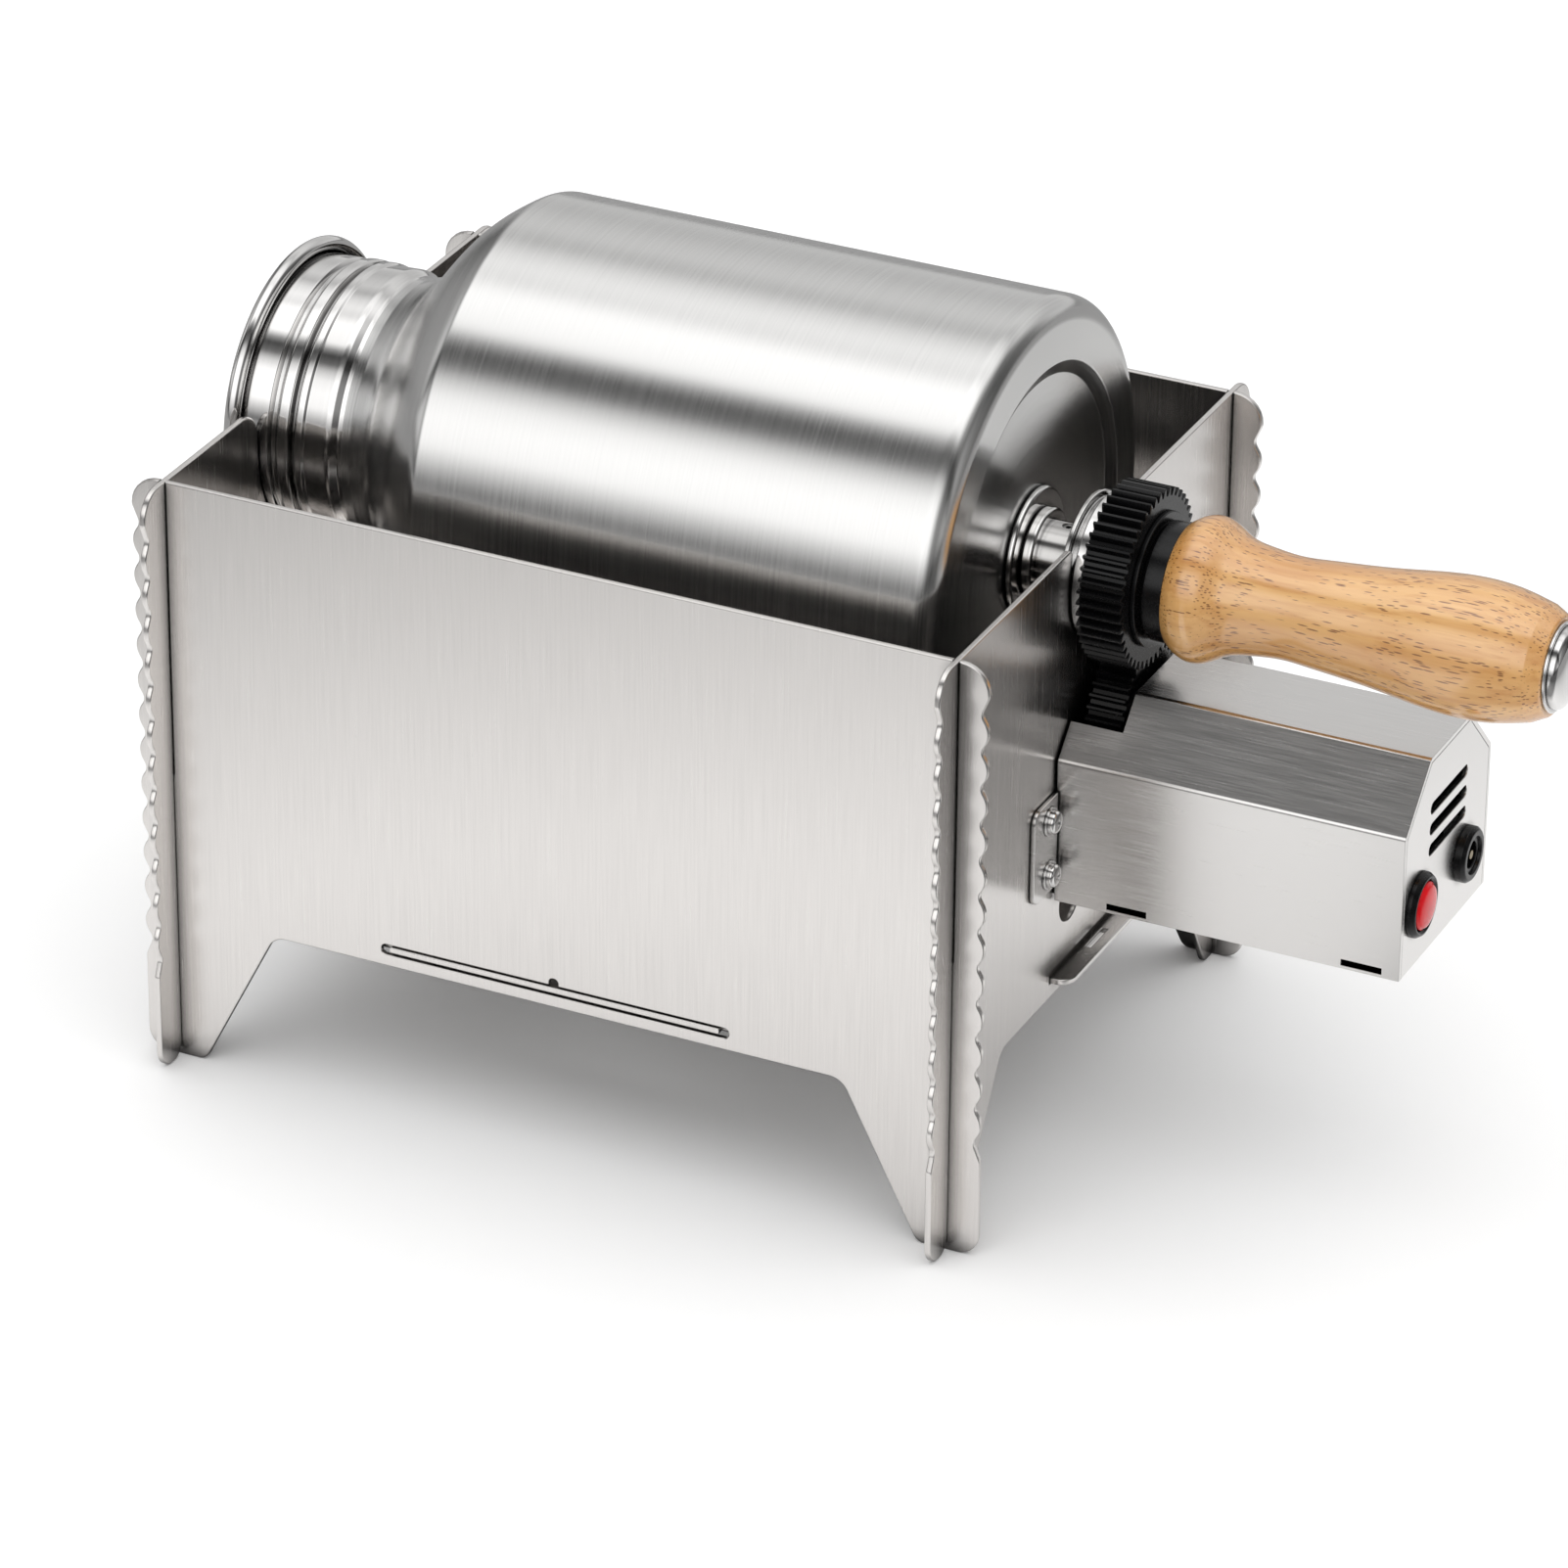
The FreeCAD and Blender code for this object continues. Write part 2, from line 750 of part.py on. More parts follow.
def burner_shelf():
    """The level plate over the burner: a tab through each panel and a round hole."""
    across = place.right_inside - size.shelf_play
    back = place.half_width - size.sheet / 2 - size.shelf_play
    tab = place.front_slot_half - size.front_slot_height / 2
    tab_end = place.half_width + size.sheet / 2 + size.front_tab_proud
    tongue = place.side_slot_half - size.side_tongue_play
    tongue_end = place.half_length + size.side_tongue_reach
    quarter = [
        (tongue_end, tongue, size.tongue_radius),
        (across, tongue, 0),
        (across, back, 0),
        (tab, back, 0),
        (tab, tab_end, 0),
    ]
    outline = list(quarter)
    outline += [(-x, y, radius) for x, y, radius in reversed(quarter)]
    outline += [(-x, -y, radius) for x, y, radius in quarter]
    outline += [(x, -y, radius) for x, y, radius in reversed(quarter)]
    holes = [round_hole(none, none, size.burner_hole_radius)]
    slit = place.half_length + size.tongue_slit_place
    half = size.tongue_slit_half
    width = size.tongue_slit_width / 2
    for side in (-1, 1):
        middle = side * slit
        corners = [(1, -1), (1, 1), (-1, 1), (-1, -1)]
        holes.append(rounded_wire([(middle + x * width, y * half, 0) for x, y in corners]))
    solid = slab(rounded_wire(outline), holes, size.sheet)
    sheet_piece("burner_shelf", solid, Rotation(), none, none, place.shelf_base)


# Drum


def spline(points, start_direction=None, end_direction=None):
    curve = Part.BSplineCurve()
    if end_direction:
        curve.interpolate(points, InitialTangent=start_direction, FinalTangent=end_direction)
    else:
        curve.interpolate(points)
    return curve.toShape()


def chain(points):
    return [Part.LineSegment(one, other).toShape() for one, other in zip(points, points[1:])]


def at(across, up):
    return Vector(number(across), 0, number(up))


def shoulder_curve(start, start_radius, end, end_radius):
    run = end - start
    rise = end_radius - start_radius
    points = [at(start + run * x, start_radius + rise * y) for x, y in SHOULDER_SHARES]
    along = points[1] - points[0]
    return spline(points, along, Vector(points[-1].x - points[-2].x, 0, 0))


def turned_solid(edges):
    face = Part.Face(Part.Wire(edges))
    return face.revolve(Vector(), Vector(1, 0, 0), 360)


def drum_outside():
    """The outer skin, from the end of the neck over the shoulder to the recessed base."""
    corner = place.base_edge - size.drum_corner
    rise = size.drum_radius - size.drum_corner
    diagonal = size.drum_corner * math.sqrt(0.5)
    start = at(corner, size.drum_radius)
    end = at(place.base_edge, rise)
    base = [
        end,
        at(place.base_edge, size.base_recess_radius + size.base_step_width),
        at(place.base, size.base_recess_radius),
        at(place.base, none),
        at(place.neck_end, none),
    ]
    edges = chain(
        [
            at(place.neck_end, none),
            at(place.neck_end, size.shoulder_start_radius),
            at(place.shoulder_start, size.shoulder_start_radius),
        ]
    )
    edges.append(
        shoulder_curve(
            place.shoulder_start, size.shoulder_start_radius, place.shoulder_end, size.drum_radius
        )
    )
    edges += chain([at(place.shoulder_end, size.drum_radius), start])
    edges.append(Part.Arc(start, at(corner + diagonal, rise + diagonal), end).toShape())
    return turned_solid(edges + chain(base))


def drum_inside():
    """The roasting space, one wall inside the outer skin."""
    wall = size.drum_wall
    mouth = place.neck_end - size.overrun
    start = place.shoulder_start + wall
    radius = size.drum_radius - wall
    corner = place.base_edge - size.drum_corner
    bend = size.drum_corner - wall
    rise = size.drum_radius - size.drum_corner
    diagonal = bend * math.sqrt(0.5)
    corner_start = at(corner, radius)
    corner_end = at(corner + bend, rise)
    step = size.base_recess_radius + size.base_step_width
    edges = chain(
        [at(mouth, none), at(mouth, size.neck_bore_radius), at(start, size.neck_bore_radius)]
    )
    edges.append(shoulder_curve(start, size.neck_bore_radius, place.shoulder_end, radius))
    edges += chain([at(place.shoulder_end, radius), corner_start])
    edges.append(Part.Arc(corner_start, at(corner + diagonal, rise + diagonal), corner_end).toShape())
    base = [
        corner_end,
        at(corner + bend, step),
        at(place.base_inside, size.base_recess_radius),
        at(place.base_inside, none),
        at(mouth, none),
    ]
    return turned_solid(edges + chain(base))


def along_x(start, length, radius):
    return Part.makeCylinder(
        number(radius), number(length), Vector(number(start), 0, 0), Vector(1, 0, 0)
    )


def drum_shell():
    bore = along_x(place.base_inside - size.overrun, size.drum_wall + 2 * size.overrun, place.bolt_bore)
    solid = drum_outside().cut([drum_inside(), bore])
    sheet_piece("drum_shell", solid, Rotation(), none, none, place.axis_height)


def drum_neck():
    """The beaded neck ring, welded to the drum, with a round bead along its rim."""
    bore = size.neck_bore_radius
    slope = size.bead_slope
    rim = place.seat_start - size.rim_bead
    section = [
        at(rim, bore),
        at(rim, size.neck_seat_radius),
        at(place.seat_end, size.neck_seat_radius),
        at(place.seat_end + slope, size.neck_groove_radius),
        at(place.bead_start - slope, size.neck_groove_radius),
        at(place.bead_start, size.neck_bead_radius),
        at(place.bead_end, size.neck_bead_radius),
        at(place.bead_end + slope, size.neck_groove_radius),
        at(place.thin_start - slope, size.neck_groove_radius),
        at(place.thin_start, size.neck_bead_radius),
        at(place.thin_end, size.neck_bead_radius),
        at(place.thin_end, size.neck_plain_radius),
        at(place.hollow_start, size.neck_plain_radius),
        at(place.hollow_start + slope, size.shoulder_start_radius),
        at(place.neck_end, size.shoulder_start_radius),
        at(place.neck_end, bore),
        at(rim, bore),
    ]
    path = size.rim_radius - size.rim_bead
    bead = Part.makeTorus(path.value, size.rim_bead.value, at(place.seat_start, none), Vector(1, 0, 0))
    mouth = along_x(rim - size.overrun, size.rim_bead * 3, bore)
    solid = turned_solid(chain(section)).fuse(bead).cut(mouth).removeSplitter()
    sheet_piece("drum_neck", solid, Rotation(), none, none, place.axis_height)


def drum_vanes():
    """Flat vanes welded along the inside of the drum, which lift and mix its load."""
    start = place.shoulder_end + size.vane_margin
    end = place.base_edge - size.drum_corner - size.vane_margin
    half = size.drum_wall / 2
    inner = size.drum_radius - size.drum_wall
    top = math.sqrt(inner.value**2 - half.value**2) - size.vane_seat_gap.value
    blade = Part.makeBox(number(end - start), number(size.drum_wall), number(size.vane_height))
    blade.translate(Vector(number(start), -half.value, top - size.vane_height.value))
    blades = []
    for index in range(VANES):
        turned = blade.copy()
        turned.rotate(Vector(), Vector(1, 0, 0), 360 * (index + 0.5) / VANES)
        blades.append(turned)
    sheet_piece("drum_vanes", Part.makeCompound(blades), Rotation(), none, none, place.axis_height)


# Axle stack


def axle_rings():
    ring(
        "base_washer",
        place.base,
        size.base_washer_thickness,
        size.base_washer_radius,
        place.bolt_bore,
    )
    ring(
        "base_ring",
        place.ring_start,
        size.base_ring_thickness,
        size.base_ring_radius,
        place.bolt_bore,
    )
    ring(
        "inner_washer",
        place.base_inside - size.inner_washer_thickness,
        size.inner_washer_thickness,
        size.inner_washer_radius,
        place.bolt_bore,
    )
    ring(
        "handle_collar",
        place.collar_start,
        size.collar_length,
        size.collar_radius,
        place.bolt_bore,
    )
    ring(
        "handle_washer",
        place.handle_end,
        size.cap_washer_thickness,
        size.cap_washer_radius,
        place.bolt_bore,
    )


def drum_hub():
    """The sleeve between drum and gear, with a thinner spigot that carries the gear."""
    shoulder = place.gear_start - place.hub_start
    end = place.collar_start - place.hub_start
    corners = [
        (none, place.bolt_bore),
        (end, place.bolt_bore),
        (end, size.spigot_radius),
        (shoulder, size.spigot_radius),
        (shoulder, size.hub_radius),
        (none, size.hub_radius),
    ]
    body = revolve("drum_hub", corners, across=place.hub_start)
    sketch = new_sketch(body, "XY_Plane")
    draw_circle(sketch, size.set_screw_place, none, size.set_screw_radius)
    pocket = body.newObject("PartDesign::Pocket", "Pocket")
    pocket.Profile = sketch
    pocket.setExpression("Length", (size.hub_radius + size.overrun).text)
    pocket.Reversed = True
    body.Tip = pocket


def hub_set_screw():
    height = size.hub_radius - size.set_screw_sink - place.bolt_bore
    base = place.axis_height + place.bolt_bore
    hole = size.set_screw_radius / 2
    extrude(
        "hub_set_screw",
        "XY_Plane",
        [
            ("Pad", [circle(none, none, size.set_screw_radius)], none, height),
            ("Pocket", [hexagon(none, none, hole * SQUARE_ROOT_OF_THREE)], height / 2, height),
        ],
        across=place.hub_start + size.set_screw_place,
        up=base,
    )


def lying_cylinder(start, length, radius):
    piece = doc.addObject("Part::Cylinder", "Cylinder")
    piece.setExpression("Radius", radius.text)
    piece.setExpression("Height", length.text)
    piece.Placement = Placement(Vector(), Rotation(Vector(0, 1, 0), 90))
    return put(piece, start, none, place.axis_height)


def race_torus():
    """The space that the balls and their running gap take up."""
    piece = doc.addObject("Part::Torus", "Torus")
    piece.setExpression("Radius1", ball_path().text)
    piece.setExpression("Radius2", (size.ball_radius + size.race_gap).text)
    piece.Placement = Placement(Vector(), Rotation(Vector(0, 1, 0), 90))
    return put(piece, place.bearing_middle, none, place.axis_height)


def ball_path():
    inner = place.bearing_bore + size.inner_ring_wall
    return (inner + size.outer_ring_bore_radius) / 2


def cut_from(name, base, tools):
    """A piece made by taking each tool from the base in turn."""
    for tool in tools:
        cut = doc.addObject("Part::Cut", "Cut")
        cut.Base = base
        cut.Tool = tool
        base = cut
    return keep(base, name)


def bearing():
    width = place.bearing_end - place.bearing_start
    past = place.bearing_start - size.overrun
    long = width + 2 * size.overrun
    groove_start = place.bearing_start + size.bearing_inner_lip
    groove = doc.addObject("Part::Cut", "Groove")
    groove.Base = lying_cylinder(
        groove_start, size.bearing_groove_width, size.bearing_radius + size.overrun
    )
    groove.Tool = lying_cylinder(
        groove_start - size.overrun,
        size.bearing_groove_width + 2 * size.overrun,
        place.groove_radius,
    )
    cut_from(
        "bearing_outer_ring",
        lying_cylinder(place.bearing_start, width, size.bearing_radius),
        [lying_cylinder(past, long, size.outer_ring_bore_radius), groove, race_torus()],
    )
    cut_from(
        "bearing_inner_ring",
        lying_cylinder(place.bearing_start, width, place.bearing_bore + size.inner_ring_wall),
        [lying_cylinder(past, long, place.bearing_bore), race_torus()],
    )


def bearing_balls():
    balls = []
    path = number(ball_path())
    for index in range(BALLS):
        angle = 2 * math.pi * index / BALLS
        centre = Vector(0, path * math.cos(angle), path * math.sin(angle))
        balls.append(Part.makeSphere(size.ball_radius.value, centre))
    shape = Part.makeCompound(balls)
    sheet_piece("bearing_balls", shape, Rotation(), place.bearing_middle, none, place.axis_height)


def bearing_shields():
    inner = place.bearing_bore + size.inner_ring_wall + size.shield_gap
    starts = [
        place.bearing_start + size.shield_inset,
        place.bearing_end - size.shield_inset - size.shield_thickness,
    ]
    shields = []
    for start in starts:
        plate = along_x(start, size.shield_thickness, size.outer_ring_bore_radius)
        shields.append(plate.cut(along_x(start, size.shield_thickness, inner)))
    shape = Part.makeCompound(shields)
    sheet_piece("bearing_shields", shape, Rotation(), none, none, place.axis_height)


def drum_lock_nut():
    extrude(
        "drum_lock_nut",
        "YZ_Plane",
        [
            (
                "Pad",
                [hexagon(none, none, size.lock_nut_flats), circle(none, none, place.bolt_bore)],
                none,
                size.lock_nut_height,
            )
        ],
        across=place.nut_start,
        up=place.axis_height,
    )


def handle_bolt():
    """One long bolt clamps handle, collar, gear, hub and drum together."""
    head = place.head_start - place.bolt_start
    edge = head + size.bolt_head_edge
    end = place.head_end - place.bolt_start
    flat = size.socket_flats / 2 + size.bolt_head_edge
    middle = (size.bolt_head_radius + flat) / 2 + size.bolt_head_edge
    high = edge + (end - edge) * DOME_SHARE
    body = revolve(
        "handle_bolt",
        [
            (none, none),
            (end, none),
            (end, flat),
            (high, middle),
            (edge, size.bolt_head_radius),
            (head, size.bolt_head_radius),
            (head, size.bolt_radius),
            (none, size.bolt_radius),
        ],
        across=place.bolt_start,
    )
    socket = end - size.socket_depth
    loops = [hexagon(none, none, size.socket_flats)]
    add_step(body, "YZ_Plane", "Pocket", loops, socket, size.socket_depth + size.overrun)


# Gears


def involute(angle):
    return math.tan(angle) - angle


def gear_solid(teeth, width, first_tooth):
    """A spur gear about X, its first tooth at the given angle from Y towards Z."""
    pitch = size.gear_module.value * teeth / 2
    base = pitch * math.cos(math.radians(PRESSURE_ANGLE))
    tip = pitch + size.gear_module.value
    root = max(pitch - DEDENDUM_SHARE * size.gear_module.value, base)
    thickness = math.pi * size.gear_module.value / 2 - size.tooth_thinning.value
    half_pitch = thickness / (2 * pitch) + involute(math.radians(PRESSURE_ANGLE))

    def point(radius, middle, side):
        half = half_pitch - involute(math.acos(base / radius))
        angle = middle + side * half
        return Vector(0, radius * math.cos(angle), radius * math.sin(angle))

    centre = root + (tip - root) * FLANK_MIDDLE_SHARE
    edges = []
    last = None
    start = None
    for index in range(teeth):
        middle = first_tooth + 2 * math.pi * index / teeth
        low, mid, high = (point(radius, middle, -1) for radius in (root, centre, tip))
        high_after, mid_after, low_after = (
            point(radius, middle, 1) for radius in (tip, centre, root)
        )
        if last:
            edges.append(Part.LineSegment(last, low).toShape())
        edges.append(Part.Arc(low, mid, high).toShape())
        edges.append(Part.LineSegment(high, high_after).toShape())
        edges.append(Part.Arc(high_after, mid_after, low_after).toShape())
        start = start or low
        last = low_after
    edges.append(Part.LineSegment(last, start).toShape())
    return Part.Face(Part.Wire(edges)).extrude(Vector(number(width), 0, 0))


def mesh_angle():
    """The angle, from Y towards Z, at which the motor's axis lies from the drum's."""
    return math.atan2(-place.motor_drop.value, place.motor_y.value)


def drum_gear():
    """The driven gear, one tooth towards the pinion, with a flange at the handle's side."""
    solid = gear_solid(DRUM_TEETH, size.gear_width, mesh_angle())
    flange = along_x(size.gear_width, size.gear_flange_width, size.gear_flange_radius)
    bore = size.spigot_radius + size.spigot_play
    length = size.gear_width + size.gear_flange_width + 2 * size.overrun
    solid = solid.fuse(flange).cut(along_x(-size.overrun, length, bore))
    sheet_piece("drum_gear", solid, Rotation(), place.gear_start, none, place.axis_height)


def motor_gear():
    """The pinion on the motor's shaft, with a gap between two teeth towards the drum gear."""
    half_step = math.pi / PINION_TEETH
    solid = gear_solid(PINION_TEETH, size.pinion_width, mesh_angle() + math.pi + half_step)
    solid = solid.cut(shaft_solid(-size.overrun, size.pinion_width + 2 * size.overrun))
    sheet_piece("motor_gear", solid, Rotation(), place.pinion_start, place.motor_y, place.motor_height)


def shaft_solid(start, length):
    """A length of the shaft's D section."""
    rod = along_x(start, length, size.shaft_radius)
    flat = size.shaft_radius - size.shaft_flat
    side = size.shaft_radius * 2
    block = Part.makeBox(number(length), number(side), number(side))
    block.translate(Vector(number(start), -size.shaft_radius.value, flat.value))
    return rod.cut(block)


def motor_shaft():
    start = place.pinion_start
    flat_end = place.gearbox_start - size.boss_height - size.shaft_end_gap
    end = place.gearbox_start + size.shaft_depth
    solid = shaft_solid(none, flat_end - start)
    solid = solid.fuse(along_x(flat_end - start, end - flat_end, size.shaft_radius))
    sheet_piece("motor_shaft", solid, Rotation(), start, place.motor_y, place.motor_height)


# Handle


def wooden_handle():
    length = size.handle_length
    radius = size.handle_radius
    points = [at(length * x, radius * y) for x, y in HANDLE_SHARES]
    end = at(length, radius * HANDLE_END_SHARE)
    edges = [spline(points)]
    edges += chain([points[-1], end, at(length, none), at(none, none), points[0]])
    bore = along_x(-size.overrun, length + 2 * size.overrun, size.bolt_radius + size.handle_bore_play)
    solid = turned_solid(edges).cut(bore)
    sheet_piece("wooden_handle", solid, Rotation(), place.handle_start, none, place.axis_height)


# Motor box


def cover_section(inset, base):
    """The five-sided section of the motor cover, inset by so much all round."""
    half = size.cover_half_width - inset
    slant = inset * (math.sqrt(2) - 1)
    top_half = size.cover_top_half - slant
    top = place.cover_top - inset
    low = place.cover_top - size.cover_chamfer_height - slant
    middle = size.cover_centre
    return polygon(
        (middle - half, base),
        (middle + half, base),
        (middle + half, low),
        (middle + top_half, top),
        (middle - top_half, top),
        (middle - half, low),
    )


def cover_screw_places():
    """The four screws, as places along Y and Z."""
    spots = []
    top = place.cover_top - size.flange_top_drop - size.flange_screw_margin
    low = place.cover_top - size.flange_top_drop - size.flange_height + size.flange_screw_margin
    out = size.cover_half_width + size.flange_screw_inset
    for side in (-1, 1):
        for up in (top, low):
            spots.append((size.cover_centre + side * out, up))
    return spots


def motor_cover():
    """A folded steel cover: two sides, two slants, a top and an end plate."""
    outer = cover_section(none, place.cover_base)
    inner = cover_section(size.cover_sheet, place.cover_base - size.overrun)
    far = size.cover_half_width + size.overrun
    left = size.cover_centre - far
    right = size.cover_centre + far
    top = place.cover_top + size.overrun
    notch = box_loop(left, right, place.cover_top - size.gear_notch_depth, top)
    out = size.cover_half_width + size.flange_width
    flange_top = place.cover_top - size.flange_top_drop
    flange_low = flange_top - size.flange_height
    near = size.cover_half_width - size.cover_sheet
    flanges = [
        box_loop(size.cover_centre - out, size.cover_centre - near, flange_low, flange_top),
        box_loop(size.cover_centre + near, size.cover_centre + out, flange_low, flange_top),
    ]
    screws = [circle(back, up, place.screw_bore) for back, up in cover_screw_places()]
    through = size.cover_sheet + 2 * size.overrun
    panel_cut = size.cover_length - size.cover_sheet - size.overrun
    vents = []
    for index in range(VENTS):
        up = place.cover_top - size.vent_top_drop - index * size.vent_pitch
        vents.append((draw_slot, size.vent_centre, up, size.vent_half, size.vent_height / 2))
    fittings = [
        circle(place.jack_y, place.jack_height, size.jack_barrel_radius + size.spigot_play),
        circle(place.button_y, place.button_height, size.button_barrel_radius + size.spigot_play),
    ]
    slot_low = place.floor_base - size.floor_slot_play
    slot_high = place.floor_top + size.floor_slot_play
    slots = [box_loop(left, right, slot_low, slot_high)]
    back_slot = size.cover_length - size.floor_slot_margin - size.floor_slot_length
    steps = [
        ("Pad", [outer], none, size.cover_length),
        ("Pocket", [inner], -size.overrun, size.cover_length - size.cover_sheet + size.overrun),
        ("Pocket", [notch], -size.overrun, size.gear_notch_length + size.overrun),
        ("Pad", flanges, none, size.cover_sheet),
        ("Pocket", screws, -size.overrun, through),
        ("Pocket", vents, panel_cut, through + size.overrun),
        ("Pocket", fittings, panel_cut, through + size.overrun),
        ("Pocket", slots, size.floor_slot_start, size.floor_slot_length),
        ("Pocket", slots, back_slot, size.floor_slot_length),
    ]
    extrude("motor_cover", "YZ_Plane", steps, across=place.right_face)


def motor_floor():
    """The floor of the motor box: a plate with two tabs on each side."""
    gap = size.floor_slot_play
    start = gap
    end = size.cover_length - size.cover_sheet - gap
    half = size.cover_half_width - size.cover_sheet - gap
    reach = size.cover_half_width
    low = size.cover_centre - half
    high = size.cover_centre + half
    plate = box_loop(start, end, low, high)
    back_slot = size.cover_length - size.floor_slot_margin - size.floor_slot_length
    through = size.cover_sheet + 2 * size.overrun
    tabs = []
    for slot in (size.floor_slot_start, back_slot):
        left = slot + gap
        right = slot + size.floor_slot_length - gap
        tabs.append(
            box_loop(left, right, size.cover_centre - reach, size.cover_centre + reach)
        )
    steps = [
        ("Pad", [plate], none, size.cover_sheet),
        ("Pad", [tabs[0]], none, size.cover_sheet),
        ("Pad", [tabs[1]], none, size.cover_sheet),
        ("Pocket", foot_screw_holes(foot_screw_place(), place.motor_y), -size.overrun, through),
    ]
    extrude("motor_floor", "XY_Plane", steps, across=place.right_face, up=place.floor_base)


def foot_screw_place():
    """How far the bracket's foot screws stand from the face of the right panel."""
    middle = size.bracket_sheet + (size.bracket_foot_length - size.bracket_sheet) / 2
    return place.bracket_start - place.right_face + middle


def foot_screw_holes(spot, middle):
    offset = size.bracket_screw_offset
    return [circle(spot, middle + side * offset, size.screw_radius) for side in (-1, 1)]


def grouped(name, solids, across, back=none, up=none):
    """Like pieces that share one node, each a solid of its own."""
    sheet_piece(name, Part.makeCompound(solids), Rotation(), across, back, up)


def moved(solid, back, up):
    copy = solid.copy()
    copy.translate(Vector(0, number(back), number(up)))
    return copy


def hex_prism(flats, start, length):
    corner = number(flats) / SQUARE_ROOT_OF_THREE
    points = []
    for index in range(6):
        angle = math.pi * index / 3
        points.append(Vector(number(start), corner * math.cos(angle), corner * math.sin(angle)))
    wire = Part.makePolygon(points + points[:1])
    return Part.Face(wire).extrude(Vector(number(length), 0, 0))


def cover_fastenings():
    """Screws through the cover's flanges and the panel, with washers and nuts."""
    face = size.cover_sheet + size.lock_washer_thickness
    shank = along_x(face - size.screw_length, size.screw_length, size.screw_radius)
    head = along_x(face, size.screw_head_height, size.screw_head_radius)
    screw = head.fuse(shank)
    depth = size.screw_recess_depth + size.overrun
    floor = face + size.screw_head_height - size.screw_recess_depth
    long = size.screw_recess_length
    thin = size.screw_recess_width
    for wide, tall in ((long, thin), (thin, long)):
        arm = Part.makeBox(number(depth), number(wide), number(tall))
        arm.translate(Vector(number(floor), -number(wide) / 2, -number(tall) / 2))
        screw = screw.cut(arm)
    washer = along_x(size.cover_sheet, size.lock_washer_thickness, size.lock_washer_radius)
    washer = washer.cut(along_x(none, face + size.overrun, place.screw_bore))
    nut = hex_prism(size.nut_flats, -size.sheet - size.nut_height, size.nut_height)
    nut = nut.cut(along_x(-size.screw_length, size.screw_length, size.screw_radius))
    for name, solid in (("cover_screws", screw), ("cover_washers", washer), ("cover_nuts", nut)):
        solids = [moved(solid, back, up) for back, up in cover_screw_places()]
        grouped(name, solids, place.right_face)


def motor_bracket():
    """An upright plate that carries the gearbox, with a foot on the floor."""
    half = size.bracket_half_width
    plate_top = place.motor_height + size.bracket_top_rise
    base = place.floor_top
    plate = box_loop(-half, half, base, plate_top)
    foot = box_loop(-half, half, base, base + size.bracket_sheet)
    boss = circle(none, place.motor_height, size.boss_radius + size.screw_play)
    screws = [
        circle(side * size.gearbox_screw_offset, place.gearbox_height, size.screw_radius)
        for side in (-1, 1)
    ]
    through = size.bracket_sheet + 2 * size.overrun
    steps = [
        ("Pad", [plate], none, size.bracket_sheet),
        ("Pad", [foot], none, size.bracket_foot_length),
        ("Pocket", [boss], -size.overrun, through),
        ("Pocket", screws, -size.overrun, through),
    ]
    body = extrude(
        "motor_bracket", "YZ_Plane", steps, across=place.bracket_start, back=place.motor_y
    )
    holes = foot_screw_holes(foot_screw_place() + place.right_face - place.bracket_start, none)
    add_step(body, "XY_Plane", "Pocket", holes, base - size.overrun, through)


def bracket_screws():
    """Two screws that hold the bracket's foot to the floor."""
    head_base = size.bracket_sheet
    spot = foot_screw_place()
    screws = []
    down = head_base + size.cover_sheet + size.floor_rise
    for side in (-1, 1):
        at_screw = Vector(number(spot), number(side * size.bracket_screw_offset), head_base.value)
        shank = Part.makeCylinder(size.screw_radius.value, down.value, at_screw, Vector(0, 0, -1))
        head = Part.makeCylinder(size.small_head_radius.value, size.small_head_height.value, at_screw)
        screws.append(shank.fuse(head))
    grouped("bracket_screws", screws, place.right_face, place.motor_y, place.floor_top)


def motor_screws():
    """Two screws that hold the gearbox to the bracket."""
    head = along_x(-size.small_head_height, size.small_head_height, size.small_head_radius)
    shank = along_x(none, size.bracket_sheet + size.gearbox_screw_depth, size.screw_radius)
    screw = head.fuse(shank)
    sides = (-1, 1)
    solids = [moved(screw, side * size.gearbox_screw_offset, none) for side in sides]
    grouped("motor_screws", solids, place.bracket_start, place.motor_y, place.gearbox_height)


def gearbox():
    """The reduction gearbox: a round case, a shaft boss and its screw holes."""
    drop = size.gearbox_drop
    bore = size.shaft_radius + size.shaft_running_gap
    depth = size.shaft_depth + size.shaft_end_gap
    screws = [
        circle(side * size.gearbox_screw_offset, none, size.screw_radius) for side in (-1, 1)
    ]
    steps = [
        ("Pad", [circle(none, none, size.gearbox_radius)], none, size.gearbox_length),
        ("Pad", [circle(none, drop, size.boss_radius)], -size.boss_height, size.boss_height * 2),
        (
            "Pocket",
            [circle(none, drop, bore)],
            -size.boss_height - size.overrun,
            depth + size.boss_height + size.overrun,
        ),
        ("Pocket", screws, -size.overrun, size.gearbox_screw_depth + size.overrun),
    ]
    extrude(
        "gearbox",
        "YZ_Plane",
        steps,
        across=place.gearbox_start,
        back=place.motor_y,
        up=place.gearbox_height,
    )


def motor_can():
    step = size.shaft_radius / 2
    corners = [
        (none, none),
        (place.motor_length, none),
        (place.motor_length, size.motor_radius - step),
        (place.motor_length - step, size.motor_radius),
        (none, size.motor_radius),
    ]
    revolve(
        "motor_can",
        corners,
        across=place.gearbox_end,
        back=place.motor_y,
        up=place.gearbox_height,
    )


def fitting(name, corners, back, up):
    """A turned fitting of the end plate, its places measured from the outer face."""
    revolve(name, corners, across=place.cover_end, back=back, up=up)


